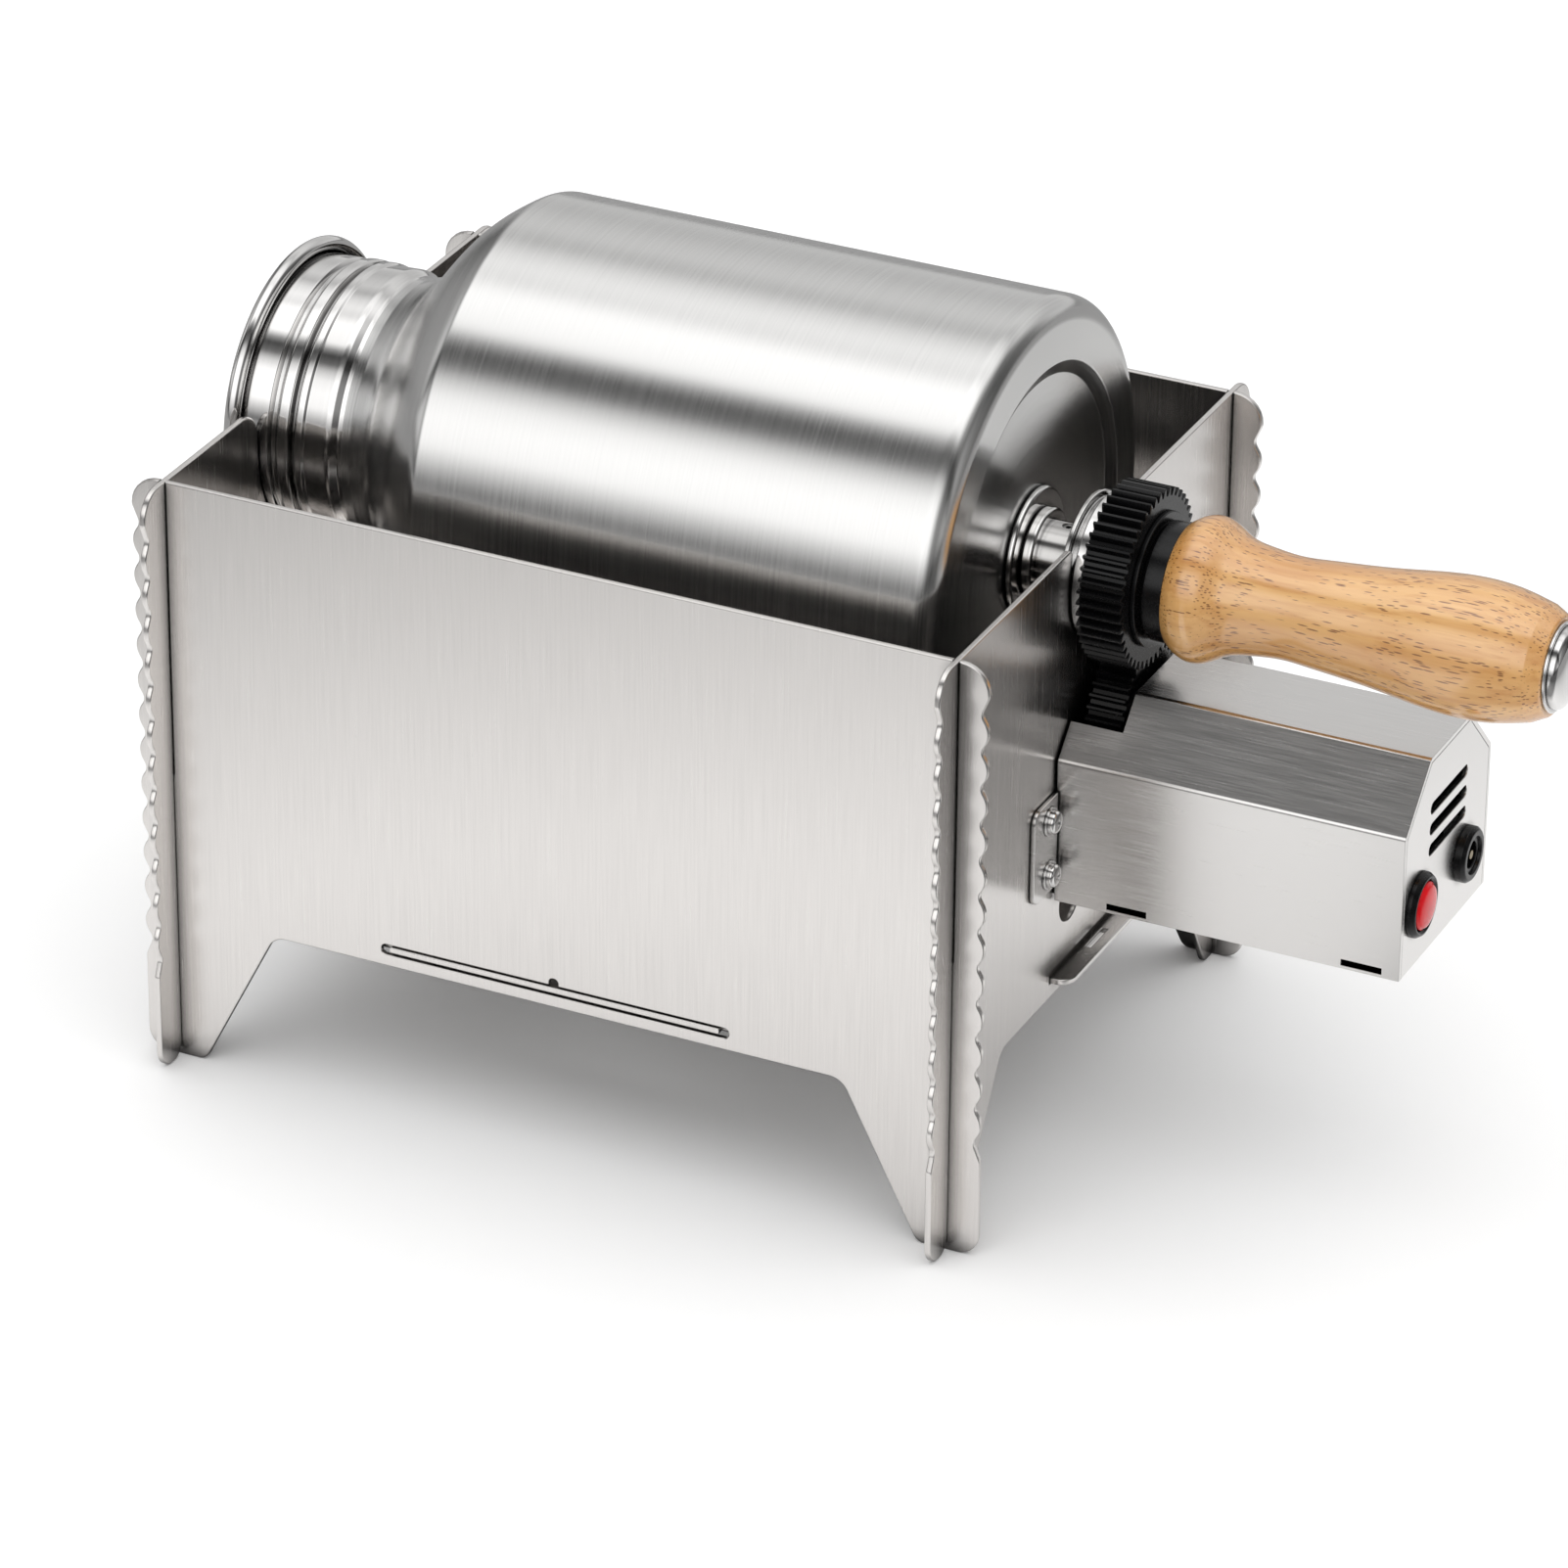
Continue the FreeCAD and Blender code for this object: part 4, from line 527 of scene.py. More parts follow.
def varnished_wood(name, colours):
    """Light wood under varnish: slow streaks along X between two tones, faint growth lines, and
    short dark pores, the cores of stretched cells that noise lets through."""
    recipe = Recipe(name)
    spots = recipe.spots()
    wander = recipe.noise(recipe.scaled(spots, (25, 60, 60)), 2.0)
    streaks = recipe.noise(recipe.scaled(spots, (10, 130, 130)), 4.0, 0.6)
    streaks = recipe.ranged(streaks, 0.25, 1, 0.35, 0.62)
    base = recipe.blend(streaks, (*colours.wood_dark, 1), (*colours.wood, 1))
    lines = recipe.noise(recipe.scaled(spots, (12, 600, 600)), 3.0, 0.6)
    base = recipe.blend(recipe.ranged(lines, 0, 0.6, 0.5, 0.7), base, (*colours.wood_dark, 1))
    shift = recipe.scaled(wander, (0.0, 0.8, 0.8))
    cells = recipe.vector("ADD", recipe.scaled(spots, (150, 1700, 1700)), shift)
    inputs = {"Vector": cells, "Scale": 1.0, "Randomness": 1.0}
    core = recipe.node("TexVoronoi", "Distance", inputs, feature="F1")
    few = recipe.noise(recipe.scaled(spots, (50, 200, 200)), 1.0)
    core = recipe.math("ADD", core, recipe.ranged(few, 0.2, 0.0, 0.35, 0.55))
    pores = recipe.ranged(core, 1.0, 0.0, 0.24, 0.36)
    base = recipe.blend(recipe.math("MULTIPLY", pores, 0.9), base, (*colours.wood_pore, 1))
    recipe.set(
        base_color=base,
        roughness=recipe.ranged(streaks, 0.5, 0.4, 0.0, 1.0),
        coat_weight=1.0,
        coat_roughness=0.12,
        coat_ior=1.9,
    )
    recipe.bump(recipe.math("SUBTRACT", streaks, pores), 0.02 * MM)
    return recipe.material


# Sizes and colours that a user would change


class PanelSizes(bpy.types.PropertyGroup):
    sheet: length("Sheet", 1.5, "Thickness of the frame's panels")
    edge: length("Edge", 0.38, "Radius of the panels' deburred edges")
    tab_top: length("Tab top", 7.0, "Radius at the top of a tab")
    tab_foot: length("Tab foot", 5.2, "Radius at the foot of a tab")
    scallop_depth: length("Scallop depth", 1.5, "Depth of the scallops along a tab")
    crest: length("Crest", 5.0, "Radius of a scallop's crest")
    valley: length("Valley", 2.4, "Radius of a scallop's valley")


class DrumSizes(bpy.types.PropertyGroup):
    wall: length("Wall", 1.0, "Thickness of the drum's wall")
    corner: length("Corner", 5.5, "Radius between the drum's side and its base")
    rim_bead: length("Rim bead", 1.9, "Radius of the rolled bead along the rim")
    ring_edge: length("Ring edge", 0.35, "Rounding of the washers and bearing rings")


class DriveSizes(bpy.types.PropertyGroup):
    module: length("Module", 0.85, "Module of both gears")
    thinning: length("Thinning", 0.12, "How much a tooth is thinner than half a pitch")
    tooth_edge: length("Tooth edge", 0.12, "Rounding of the teeth's edges")
    cover_sheet: length("Cover sheet", 1.2, "Thickness of the motor cover")
    cover_bend: length("Cover bend", 1.7, "Outer radius of the motor cover's folds")
    cover_gap: length("Cover gap", 0.5, "Gap between the motor cover and the right panel")


class Colours(bpy.types.PropertyGroup):
    panel: colour("Panel", (0.77, 0.745, 0.725), "Brushed steel of the frame")
    drum: colour("Drum", (0.75, 0.745, 0.735), "Spun steel of the drum")
    box: colour("Motor box", (0.78, 0.765, 0.75), "Brushed steel of the motor cover")
    bright: colour("Bright steel", (0.80, 0.79, 0.78), "Polished rings, neck and screws")
    plain: colour("Plain steel", (0.55, 0.55, 0.54), "Zinc plated fastenings")
    # Painted shade: the pin's brass is darkened to about a third, standing in for the shade inside
    # the socket's hole.
    brass_in_painted_shade: colour("Brass", (0.30, 0.25, 0.16), "Centre pin of the power socket")
    black: colour("Black", (0.004, 0.004, 0.0045), "Gears, collar and fittings")
    red: colour("Red", (0.72, 0.006, 0.012), "Power button")
    wood: colour("Wood", (0.84, 0.475, 0.17), "Light streaks of the handle")
    wood_dark: colour("Dark wood", (0.60, 0.25, 0.05), "Dark streaks of the handle")
    wood_pore: colour("Pores", (0.22, 0.07, 0.008), "Pores of the handle")


def make_finishes():
    """Every material of the roaster, by the name of its slot."""
    colours = bpy.context.scene.roaster_colours
    # The frame's painted shade reaches 6 millimetres, so its base colour darkens further out from
    # corners and tabs.
    finishes["frame_steel"] = steel(
        "brushed_panel_steel", colours.panel, 0.24, straight_grain, (2200, 2200, 40),
        contrast=0.055, depth=0.0015, anisotropy=0.55, reach=6.0,
    )
    finishes["drum_steel"] = steel(
        "spun_drum_steel", colours.drum, 0.22, turned_grain, (2400, 12),
        contrast=0.05, depth=0.002, anisotropy=0.7, turn=0.25,
    )
    finishes["box_steel"] = steel(
        "brushed_cover_steel", colours.box, 0.24, straight_grain, (70, 3000, 3000),
        contrast=0.035, depth=0.0005, anisotropy=0.5,
    )
    finishes["bright_steel"] = steel(
        "polished_steel", colours.bright, 0.1, turned_grain, (2400, 10),
        contrast=0.02, depth=0.0004,
    )
    finishes["plain_steel"] = steel(
        "plated_steel", colours.plain, 0.38, straight_grain, (600, 600, 600),
        contrast=0.08, depth=0.002,
    )
    # The pin's dim brass is painted shade for the socket's hole.
    finishes["pin_metal"] = steel(
        "pin_brass", colours.brass_in_painted_shade, 0.35, turned_grain, (2400, 10), contrast=0.03, depth=0.0005
    )
    finishes["black_plastic"] = plastic(
        "black_plastic", colours.black, 0.24, depth=0.0015, specular=0.3
    )
    finishes["red_plastic"] = plastic(
        "red_lens", colours.red, 0.15, depth=0.0005, coat=0.2, specular=0.3
    )
    finishes["wire_cover"] = plastic("wire_cover", colours.black, 0.5, depth=0.002)
    finishes["handle_wood"] = varnished_wood("varnished_wood", colours)


# Frame

PANEL_TOP = 151.0
ARCH_TOP, ARCH_RADIUS, LEG_RADIUS = 38.0, 5.0, 3.0
SCALLOP_LEAD, SCALLOPS_END = 0.55, 29.7
CORNER_SLOT_PLAY, CORNER_SLOT_FOOT = 0.06, 3.8
LONG_PANEL = {"reach": 100.0, "edge": 108.3, "leg_foot": 7.0, "leg_top": 26.5}
END_PANEL = {"reach": 77.0, "edge": 87.4, "leg_foot": 5.5, "leg_top": 27.5}
SHELF_SLOT = {"half": 45.0, "low": 41.0, "high": 43.6, "end": 1.25}
SLOT_MARK = {"mark_half": 1.2, "mark_height": 1.8, "mark_end": 1.1}
TAB_SLOT = (-23.0, 23.0, 41.7, 44.5)
AIR_HOLE = (-12.5, 59.7, 5.75)
NECK_NOTCH, BEARING_NOTCH = (34.2, 6.5), (16.05, 1.5)
SHELF_QUARTER = [
    (105.7, 22.5, 4.0), (99.0, 22.5, 0), (99.0, 76.0, 0), (42.55, 76.0, 0), (42.55, 77.95, 0),
]
SHELF_HOLE = 50.0
SLIT_PLACE, SLIT_HALF_WIDTH, SLIT_HALF = 102.5, 0.6, 4.8
SCREW_PLACES = [(across, up) for across in (-28.0, 35.0) for up in (87.45, 73.55)]


def screw_holes(places):
    return [circle(*place, 1.65, 24) for place in places]


def both_sides(corners):
    """Corners of a right side, and then the same corners mirrored, from the last to the first."""
    return corners + [(-across, up, radius) for across, up, radius in reversed(corners)]


def tab_edge(sizes, edge):
    """Corners of one outer edge, from its top to its foot: crests and valleys of the scallops
    take turns down the edge, half a pitch apart. Their arcs meet at a slope, so a corner lies
    beyond the middle of its arc by the radius times 1 / cos(slope) - 1."""
    first = PANEL_TOP - sizes.tab_top - SCALLOP_LEAD
    pitch = (first - SCALLOPS_END) / (SCALLOPS + 0.5)
    swing = pitch / 2
    both = sizes.crest + sizes.valley
    rise = both - sizes.scallop_depth
    slope = math.atan2(swing, rise) - math.acos(both / math.hypot(swing, rise))
    rounding = 1 / math.cos(slope) - 1
    crest = edge + sizes.crest * rounding
    valley = edge - sizes.scallop_depth - sizes.valley * rounding
    heights = first - swing - np.arange(SCALLOPS) * pitch
    corners = [(edge, PANEL_TOP, sizes.tab_top), (edge, first, sizes.valley)]
    for height in heights:
        corners += [(valley, height, sizes.valley), (crest, height - swing, sizes.crest)]
    last = heights[-1] - pitch
    corners += [(valley, last, sizes.valley), (edge, last - swing, sizes.valley)]
    return corners + [(edge, 0, sizes.tab_foot)]


def panel_loop(sizes, reach, edge, leg_foot, leg_top, slot_from_top, notch=()):
    """A panel's outline: its right half from the middle of the top to the arch, with the corner
    slot at the top or at the foot, then the same half mirrored, then the notch."""
    half_slot = sizes.sheet / 2 + CORNER_SLOT_PLAY
    near, far, middle = reach - half_slot, reach + half_slot, PANEL_TOP / 2
    side = tab_edge(sizes, edge)
    if slot_from_top:
        cut = [(near, PANEL_TOP, 0), (near, middle, 0), (far, middle, 0), (far, PANEL_TOP, 0)]
        side = cut + side
    else:
        side += [(far, 0, CORNER_SLOT_FOOT), (far, middle, 0), (near, middle, 0), (near, 0, 0)]
    side += [(reach - leg_foot, 0, LEG_RADIUS), (reach - leg_top, ARCH_TOP, ARCH_RADIUS)]
    return rounded(both_sides(side) + list(notch))


def open_notch(radius, corner):
    """Corners of a notch that is open at the top and round about the drum's axis below."""
    return [
        (-radius, PANEL_TOP, corner),
        (-radius, AXIS - radius, radius),
        (radius, AXIS - radius, radius),
        (radius, PANEL_TOP, corner),
    ]


def shelf_slot(half, low, high, end, mark_half, mark_height, mark_end):
    """A long slot with a short round mark over its middle."""
    right = [(half, low, end), (half, high, end), (mark_half, high, 0)]
    return rounded(both_sides([*right, (mark_half, high + mark_height, mark_end)]))


class ROASTER_OT_long_panels(bpy.types.Operator):
    """Makes the front and back panels: sheets with scalloped tabs, an arch and a shelf slot"""

    bl_idname = "roaster.long_panels"
    bl_label = "Front and back panels"

    def execute(self, context):
        sizes = in_millimetres(context.scene.roaster_panels)
        outline = panel_loop(sizes, **LONG_PANEL, slot_from_top=True)
        hole = shelf_slot(**SHELF_SLOT, **SLOT_MARK)
        shape = plate([outline, hole], sizes.sheet, sizes.edge)
        for name in ("front_panel", "back_panel"):
            start = (0, span(name).front, 0)
            make(name + "_sheet", set_up(shape, ALONG_X, start), "frame", "frame_steel", [name])
        return {"FINISHED"}


class ROASTER_OT_end_panels(bpy.types.Operator):
    """Makes the left and right panels, with the notches that neck and bearing sit in"""

    bl_idname = "roaster.end_panels"
    bl_label = "Left and right panels"

    def execute(self, context):
        sizes = in_millimetres(context.scene.roaster_panels)
        for name, notch, holes in (
            ("left_panel", NECK_NOTCH, []),
            ("right_panel", BEARING_NOTCH, [*screw_holes(SCREW_PLACES), circle(*AIR_HOLE)]),
        ):
            notch = open_notch(*notch)
            outline = panel_loop(sizes, **END_PANEL, slot_from_top=False, notch=notch)
            shape = plate([outline, block(*TAB_SLOT), *holes], sizes.sheet, sizes.edge)
            shape = set_up(shape, ALONG_Y, (span(name).left, 0, 0))
            make(name + "_sheet", shape, "frame", "frame_steel", [name])
        return {"FINISHED"}


class ROASTER_OT_shelf(bpy.types.Operator):
    """Makes the burner shelf: a level plate with a round hole and a tab through each panel"""

    bl_idname = "roaster.shelf"
    bl_label = "Burner shelf"

    def execute(self, context):
        sizes = in_millimetres(context.scene.roaster_panels)
        half = both_sides(SHELF_QUARTER)
        outline = half + [(-x, -y, radius) for x, y, radius in half]
        slits = [
            block(x - SLIT_HALF_WIDTH, x + SLIT_HALF_WIDTH, -SLIT_HALF, SLIT_HALF)
            for x in (-SLIT_PLACE, SLIT_PLACE)
        ]
        loops = [rounded(outline), circle(0, 0, SHELF_HOLE, 144), *slits]
        shape = plate(loops, sizes.sheet, sizes.edge)
        shape = set_up(shape, LEVEL, (0, 0, span("burner_shelf").base))
        make("burner_shelf_plate", shape, "frame", "frame_steel", ["burner_shelf"])
        return {"FINISHED"}


# Drum

AXLE_BORE = 4.2
NECK_INNER, NECK_OUTER, SHOULDER_FOOT = 32.1, 32.75, 33.0
SHOULDER_LEFT, SHOULDER_RIGHT = -76.0, -45.0
RECESS_RIM, RECESS_FLOOR, RECESS_DEPTH, RECESS_RADIUS = 44.8, 41.6, 1.8, 1.2
NECK_BEADS = [
    (-97.3, 33.9, 0.5), (-96.5, 32.7, 0.5), (-95.4, 32.7, 0.5), (-94.5, 34.3, 0.8),
    (-91.8, 34.3, 0.8), (-91.0, 32.7, 0.4), (-90.6, 32.7, 0.4), (-89.8, 34.3, 0.7),
    (-88.1, 34.3, 0.6), (-87.4, 33.8, 0.4), (-81.2, 34.1, 2.5), (-79.2, 32.75, 1.0),
]
NECK_EDGE = 0.5


class ROASTER_OT_drum(bpy.types.Operator):
    """Makes the spun drum: wall, rounded shoulder and recessed base as one turned shell"""

    bl_idname = "roaster.drum"
    bl_label = "Drum"

    def execute(self, context):
        sizes = in_millimetres(context.scene.roaster_drum)
        box = span("drum_shell")
        wall, radius, base, neck = sizes.wall, box.radius, box.right, box.left

        def shoulder(start, low, high):
            reach = np.array([SHOULDER_RIGHT - start, high - low])
            points = np.array([start, low]) + np.array(SHOULDER_SHARES) * reach
            curve = smooth(points, 12, unit(points[1] - points[0]), np.array([1.0, 0.0]))
            return corners_of(curve)

        floor = base - RECESS_DEPTH
        outer = [(neck, NECK_OUTER, 0), *shoulder(SHOULDER_LEFT, SHOULDER_FOOT, radius)]
        outer += [(base, radius, sizes.corner), (base, RECESS_RIM, RECESS_RADIUS)]
        outer += [(floor, RECESS_FLOOR, RECESS_RADIUS), (floor, AXLE_BORE, 0)]
        inner = [(floor - wall, AXLE_BORE, 0), (floor - wall, RECESS_FLOOR, RECESS_RADIUS)]
        inner += [(base - wall, RECESS_RIM, RECESS_RADIUS)]
        inner += [(base - wall, radius - wall, sizes.corner - wall)]
        inner += shoulder(SHOULDER_LEFT + wall, NECK_INNER, radius - wall)[::-1]
        shape = turned(rounded([*outer, *inner, (neck, NECK_INNER, 0)], 14), 240)
        make("drum_skin", shape, "drum", "drum_steel", ["drum_shell"], sharp=50.0)
        return {"FINISHED"}


class ROASTER_OT_neck(bpy.types.Operator):
    """Makes the beaded neck ring with its rolled rim"""

    bl_idname = "roaster.neck"
    bl_label = "Neck"

    def execute(self, context):
        sizes = in_millimetres(context.scene.roaster_drum)
        box = span("drum_neck")
        bead = sizes.rim_bead
        angle = np.radians(np.linspace(180, -70, 26))
        middle = box.left + bead
        path = box.radius - bead
        rim = np.stack([middle + bead * np.cos(angle), path + bead * np.sin(angle)], 1)
        profile = [(box.left + NECK_EDGE, NECK_INNER, 0), (box.left, NECK_INNER + NECK_EDGE, 0)]
        profile += [*corners_of(rim), *NECK_BEADS]
        profile += [(box.right, NECK_OUTER, 0), (box.right, NECK_INNER, 0)]
        make("neck_ring", turned(rounded(profile), 192), "drum", "bright_steel", ["drum_neck"])
        return {"FINISHED"}


# Axle

INNER_RING_BORE, OUTER_RING_BORE = 8.45, 13.6
GROOVE_LEFT, GROOVE_RIGHT, GROOVE_RADIUS = 99.0, 101.0, 15.8
COLLAR_STEP, COLLAR_STEP_RADIUS = 0.7, 13.2


def ring_profile(left, right, bore, radius):
    return [(left, bore), (left, radius), (right, radius), (right, bore)]


class ROASTER_OT_rings(bpy.types.Operator):
    """Makes the washers and rings on the axle and the two bearing rings"""

    bl_idname = "roaster.rings"
    bl_label = "Axle rings and bearing"

    def execute(self, context):
        edge = in_millimetres(context.scene.roaster_drum).ring_edge
        for node, bore, rounding in (
            ("base_washer", AXLE_BORE, edge * 2),
            ("base_ring", AXLE_BORE, edge * 2),
            ("inner_washer", AXLE_BORE, edge),
            ("handle_washer", AXLE_BORE, edge / 2),
            ("bearing_inner_ring", INNER_RING_BORE, edge / 2),
        ):
            box = span(node)
            profile = ring_profile(box.left, box.right, bore, box.radius)
            shape = turned(profile, 96, box.across, box.up)
            make(node + "_turned", shape, "drum", "bright_steel", [node], rounding)
        box = span("bearing_outer_ring")
        profile = [(box.left, OUTER_RING_BORE), (box.left, box.radius)]
        profile += [(GROOVE_LEFT, box.radius), (GROOVE_LEFT, GROOVE_RADIUS)]
        profile += [(GROOVE_RIGHT, GROOVE_RADIUS), (GROOVE_RIGHT, box.radius)]
        profile += [(box.right, box.radius), (box.right, OUTER_RING_BORE)]
        node, body = "bearing_outer_ring", "bearing_carrier"
        make("bearing_outer_turned", turned(profile, 144), body, "bright_steel", [node], edge)
        box = span("handle_collar")
        step = box.left + COLLAR_STEP
        profile = [(box.left, AXLE_BORE), (box.left, COLLAR_STEP_RADIUS)]
        profile += [(step, COLLAR_STEP_RADIUS), (step, box.radius)]
        profile += [(box.right, box.radius), (box.right, AXLE_BORE)]
        shape = turned(profile)
        make("handle_collar_turned", shape, "drum", "black_plastic", ["handle_collar"], edge)
        return {"FINISHED"}


# Gears

GEAR_BORE, PINION_BORE = 6.05, 3.0
FLANGE_RADIUS, FLANGE_THICKNESS, FLANGE_EDGE = 15.9, 1.2, 0.3
FLANGE_GAP = 0.01


def gear_loop(sizes, teeth, first_tooth):
    """A gear's outline: each flank is an involute of the base circle, so at radius r it stands
    off the tooth's middle by the half pitch angle less tan(c) - c, where cos c = base / r."""
    pitch = sizes.module * teeth / 2
    base = pitch * math.cos(PRESSURE_ANGLE)
    tip = pitch + sizes.module
    root = max(pitch - 1.25 * sizes.module, base)
    thickness = math.pi * sizes.module / 2 - sizes.thinning
    half_pitch = thickness / (2 * pitch) + math.tan(PRESSURE_ANGLE) - PRESSURE_ANGLE
    radius = np.linspace(root, tip, FLANK_STEPS)
    open_angle = np.arccos(base / radius)
    half = half_pitch - (np.tan(open_angle) - open_angle)
    radius = np.concatenate([radius, radius[::-1]])
    away = np.concatenate([-half, half[::-1]])
    angle = first_tooth + 2 * np.pi * np.arange(teeth)[:, None] / teeth + away
    return np.stack([radius * np.cos(angle), radius * np.sin(angle)], -1).reshape(-1, 2)


class ROASTER_OT_gears(bpy.types.Operator):
    """Makes the drum gear with its flange and the pinion that drives it"""

    bl_idname = "roaster.gears"
    bl_label = "Gears"

    def execute(self, context):
        sizes = in_millimetres(context.scene.roaster_drive)
        box, small = span("drum_gear"), span("motor_gear")
        away = math.atan2(small.up - AXIS, small.across)
        face = box.right - FLANGE_THICKNESS
        bore = circle(0, 0, GEAR_BORE)
        loops = [gear_loop(sizes, DRUM_TEETH, away), bore]
        gear = plate(loops, face - box.left, sizes.tooth_edge)
        gear = set_up(gear, ALONG_Y, (box.left, 0, AXIS))
        flange = plate([circle(0, 0, FLANGE_RADIUS, 120), bore], FLANGE_THICKNESS, FLANGE_EDGE)
        flange = set_up(flange, ALONG_Y, (face + FLANGE_GAP, 0, AXIS))
        make("drum_gear_toothed", joined(gear, flange), "drum", "black_plastic", ["drum_gear"])
        loop = gear_loop(sizes, PINION_TEETH, away + math.pi + math.pi / PINION_TEETH)
        loops = [loop, circle(0, 0, PINION_BORE)]
        wheel = plate(loops, small.right - small.left, sizes.tooth_edge)
        wheel = set_up(wheel, ALONG_Y, (small.left, small.across, small.up))
        make("motor_gear_toothed", wheel, "pinion", "black_plastic", ["motor_gear"])
        return {"FINISHED"}


# Handle

HANDLE_RADIUS, HANDLE_BORE = 17.1, 4.3
HANDLE_EDGE, HANDLE_LAST_EDGE = 0.9, 1.2
SOCKET_FLATS, SOCKET_BEVEL, DRILL_DEPTH = 6.6, 0.4, 0.6
DOME_HEIGHT, DOME_FLAT = 2.4, 4.3
HEAD_LEFT, SHANK_RADIUS = 212.8, 4.0


def hexagon_radius(flats, angle):
    """The distance from a hexagon's middle to its side at each angle."""
    sixth = np.pi / 3
    return flats / 2 / np.cos((angle % sixth) - sixth / 2)


class ROASTER_OT_handle(bpy.types.Operator):
    """Makes the turned wooden handle and the domed bolt with its hexagon socket"""

    bl_idname = "roaster.handle"
    bl_label = "Handle"

    def execute(self, context):
        box = span("wooden_handle")
        scale, start = [box.right - box.left, HANDLE_RADIUS], [box.left, 0]
        curve = smooth(np.array(HANDLE_SHARES) * scale + start, 12)
        end = HANDLE_RADIUS * HANDLE_END_SHARE
        profile = [(box.left, HANDLE_BORE, 0), (box.left, curve[0, 1], HANDLE_EDGE)]
        profile += [*corners_of(curve[1:-1]), (*curve[-1], HANDLE_LAST_EDGE)]
        profile += [(box.right, end, HANDLE_EDGE), (box.right, HANDLE_BORE, 0)]
        shape = turned(rounded(profile), 128)
        make("wooden_handle_turned", shape, "drum", "handle_wood", ["wooden_handle"])
        self.bolt()
        return {"FINISHED"}

    def bolt(self):
        """Rings from the socket's middle over its six sides and the dome to the shank's end."""
        box = span("handle_bolt")
        count = 96
        angle = np.arange(count) * 2 * np.pi / count
        hexagon = hexagon_radius(SOCKET_FLATS, angle)
        turn = np.linspace(0, np.pi / 2, 10)
        low = box.right - DOME_HEIGHT
        dome_along = low + DOME_HEIGHT * np.cos(turn) * 0.999
        dome_radius = DOME_FLAT + (box.radius - DOME_FLAT) * np.sin(turn)
        even = np.ones(count)
        along = [low - DRILL_DEPTH, low, box.right - SOCKET_BEVEL, box.right, *dome_along]
        along += [HEAD_LEFT, HEAD_LEFT, box.left, box.left]
        radius = [0 * even, hexagon, hexagon, hexagon * 0.4 + DOME_FLAT * 0.57 * even]
        rest = (*dome_radius, box.radius, SHANK_RADIUS, SHANK_RADIUS, 0)
        radius += [value * even for value in rest]
        shape = ringed(np.array(along)[:, None] * even, np.array(radius), 0.0, AXIS, False)
        make("handle_bolt_domed", shape, "drum", "bright_steel", ["handle_bolt"], 0.12)


# Motor box

COVER = SimpleNamespace(
    front=-22.7, back=29.7, left=-8.8, right=15.8, foot=64.0, knee=100.4, top=114.5
)
COVER_SLOT_LOW, COVER_SLOT_HIGH = 64.8, 66.4
FIRST_SLOT, LAST_SLOT = (13.55, 23.45), (14.2, 4.3)
COVER_LINES = (140.0, 160.0)
GEAR_NOTCH_TOP, GEAR_NOTCH_REACH = 107.4, 13.45
END_PLATE_GAP, END_PLATE_RADIUS, END_PLATE_EDGE = 0.12, 0.8, 0.15
VENT_MIDDLE, VENT_HALF, VENT_RADIUS = 3.85, 11.35, 1.5
VENT_HEIGHTS = (100.7, 95.35, 90.0)
FITTING_HOLES = ((15.3, 78.7, 5.55), (-12.7, 79.2, 6.95))
SIDE_FLANGE_LOW, SIDE_FLANGE_HIGH, SIDE_FLANGE_CORNER, SIDE_FLANGE_EDGE = 68.5, 92.5, 3.0, 0.35
SIDE_FLANGES = (
    ("front", COVER.front - 0.6, SCREW_PLACES[:2]),
    ("back", COVER.back + 0.6, SCREW_PLACES[2:]),
)


def cover_path(bend):
    """The motor cover's section as corners (across, up, radius), with a point on both sides at
    the slots' height and at the gear notch's foot."""
    share = (GEAR_NOTCH_TOP - COVER.knee) / (COVER.top - COVER.knee)
    sides = []
    for wall, ridge in ((COVER.front, COVER.left), (COVER.back, COVER.right)):
        upright = [(wall, up, 0) for up in (COVER.foot, COVER_SLOT_LOW, COVER_SLOT_HIGH)]
        slope = [(wall + share * (ridge - wall), GEAR_NOTCH_TOP, 0), (ridge, COVER.top, bend)]
        sides.append([*upright, (wall, COVER.knee, bend), *slope])
    return sides[0] + sides[1][::-1]


def folded_channel(along, path, thickness, gone):
    """A folded sheet: a grid of lines along X and of points of the section, and the same grid
    moved in by the sheet's thickness. Cells that are gone leave holes with walls round them."""
    rows, count = len(along), len(path)
    step = unit(np.diff(path, axis=0))
    left = np.stack([step[:, 1], -step[:, 0]], 1)
    left = np.concatenate([left[:1], left, left[-1:]])
    inward = left[:-1] + left[1:]
    inward = inward / (1 + (left[:-1] * left[1:]).sum(1, keepdims=True))
    layers = []
    for depth in (0.0, thickness):
        flat = path + depth * inward
        layers.append(np.column_stack([np.repeat(along, count), np.tile(flat, (rows, 1))]))
    points = np.concatenate(layers)
    index = np.arange(rows * count).reshape(rows, count)
    quads = np.stack([index[:-1, :-1], index[1:, :-1], index[1:, 1:], index[:-1, 1:]], -1)
    kept = ~gone
    outer = quads[kept]
    edge = np.pad(kept, 1)
    across = edge[1:, 1:-1] != edge[:-1, 1:-1]
    endways = edge[1:-1, 1:] != edge[1:-1, :-1]
    first = np.stack([index[:, :-1][across], index[:, 1:][across]], -1)
    second = np.stack([index[:-1][endways], index[1:][endways]], -1)
    rim = np.concatenate([first, second])
    walls = np.concatenate([rim, rim[:, ::-1] + rows * count], 1)
    faces = [outer, outer[:, ::-1] + rows * count, walls]
    far = np.concatenate([[0], np.cumsum(np.linalg.norm(np.diff(path, axis=0), axis=1))])
    uv = np.stack([np.repeat(along, count), np.tile(far, rows)], 1)
    uv = np.concatenate([uv, uv + thickness / 2])
    corners = np.concatenate([group.ravel() for group in faces])
    return points, faces, uv[corners] * MM


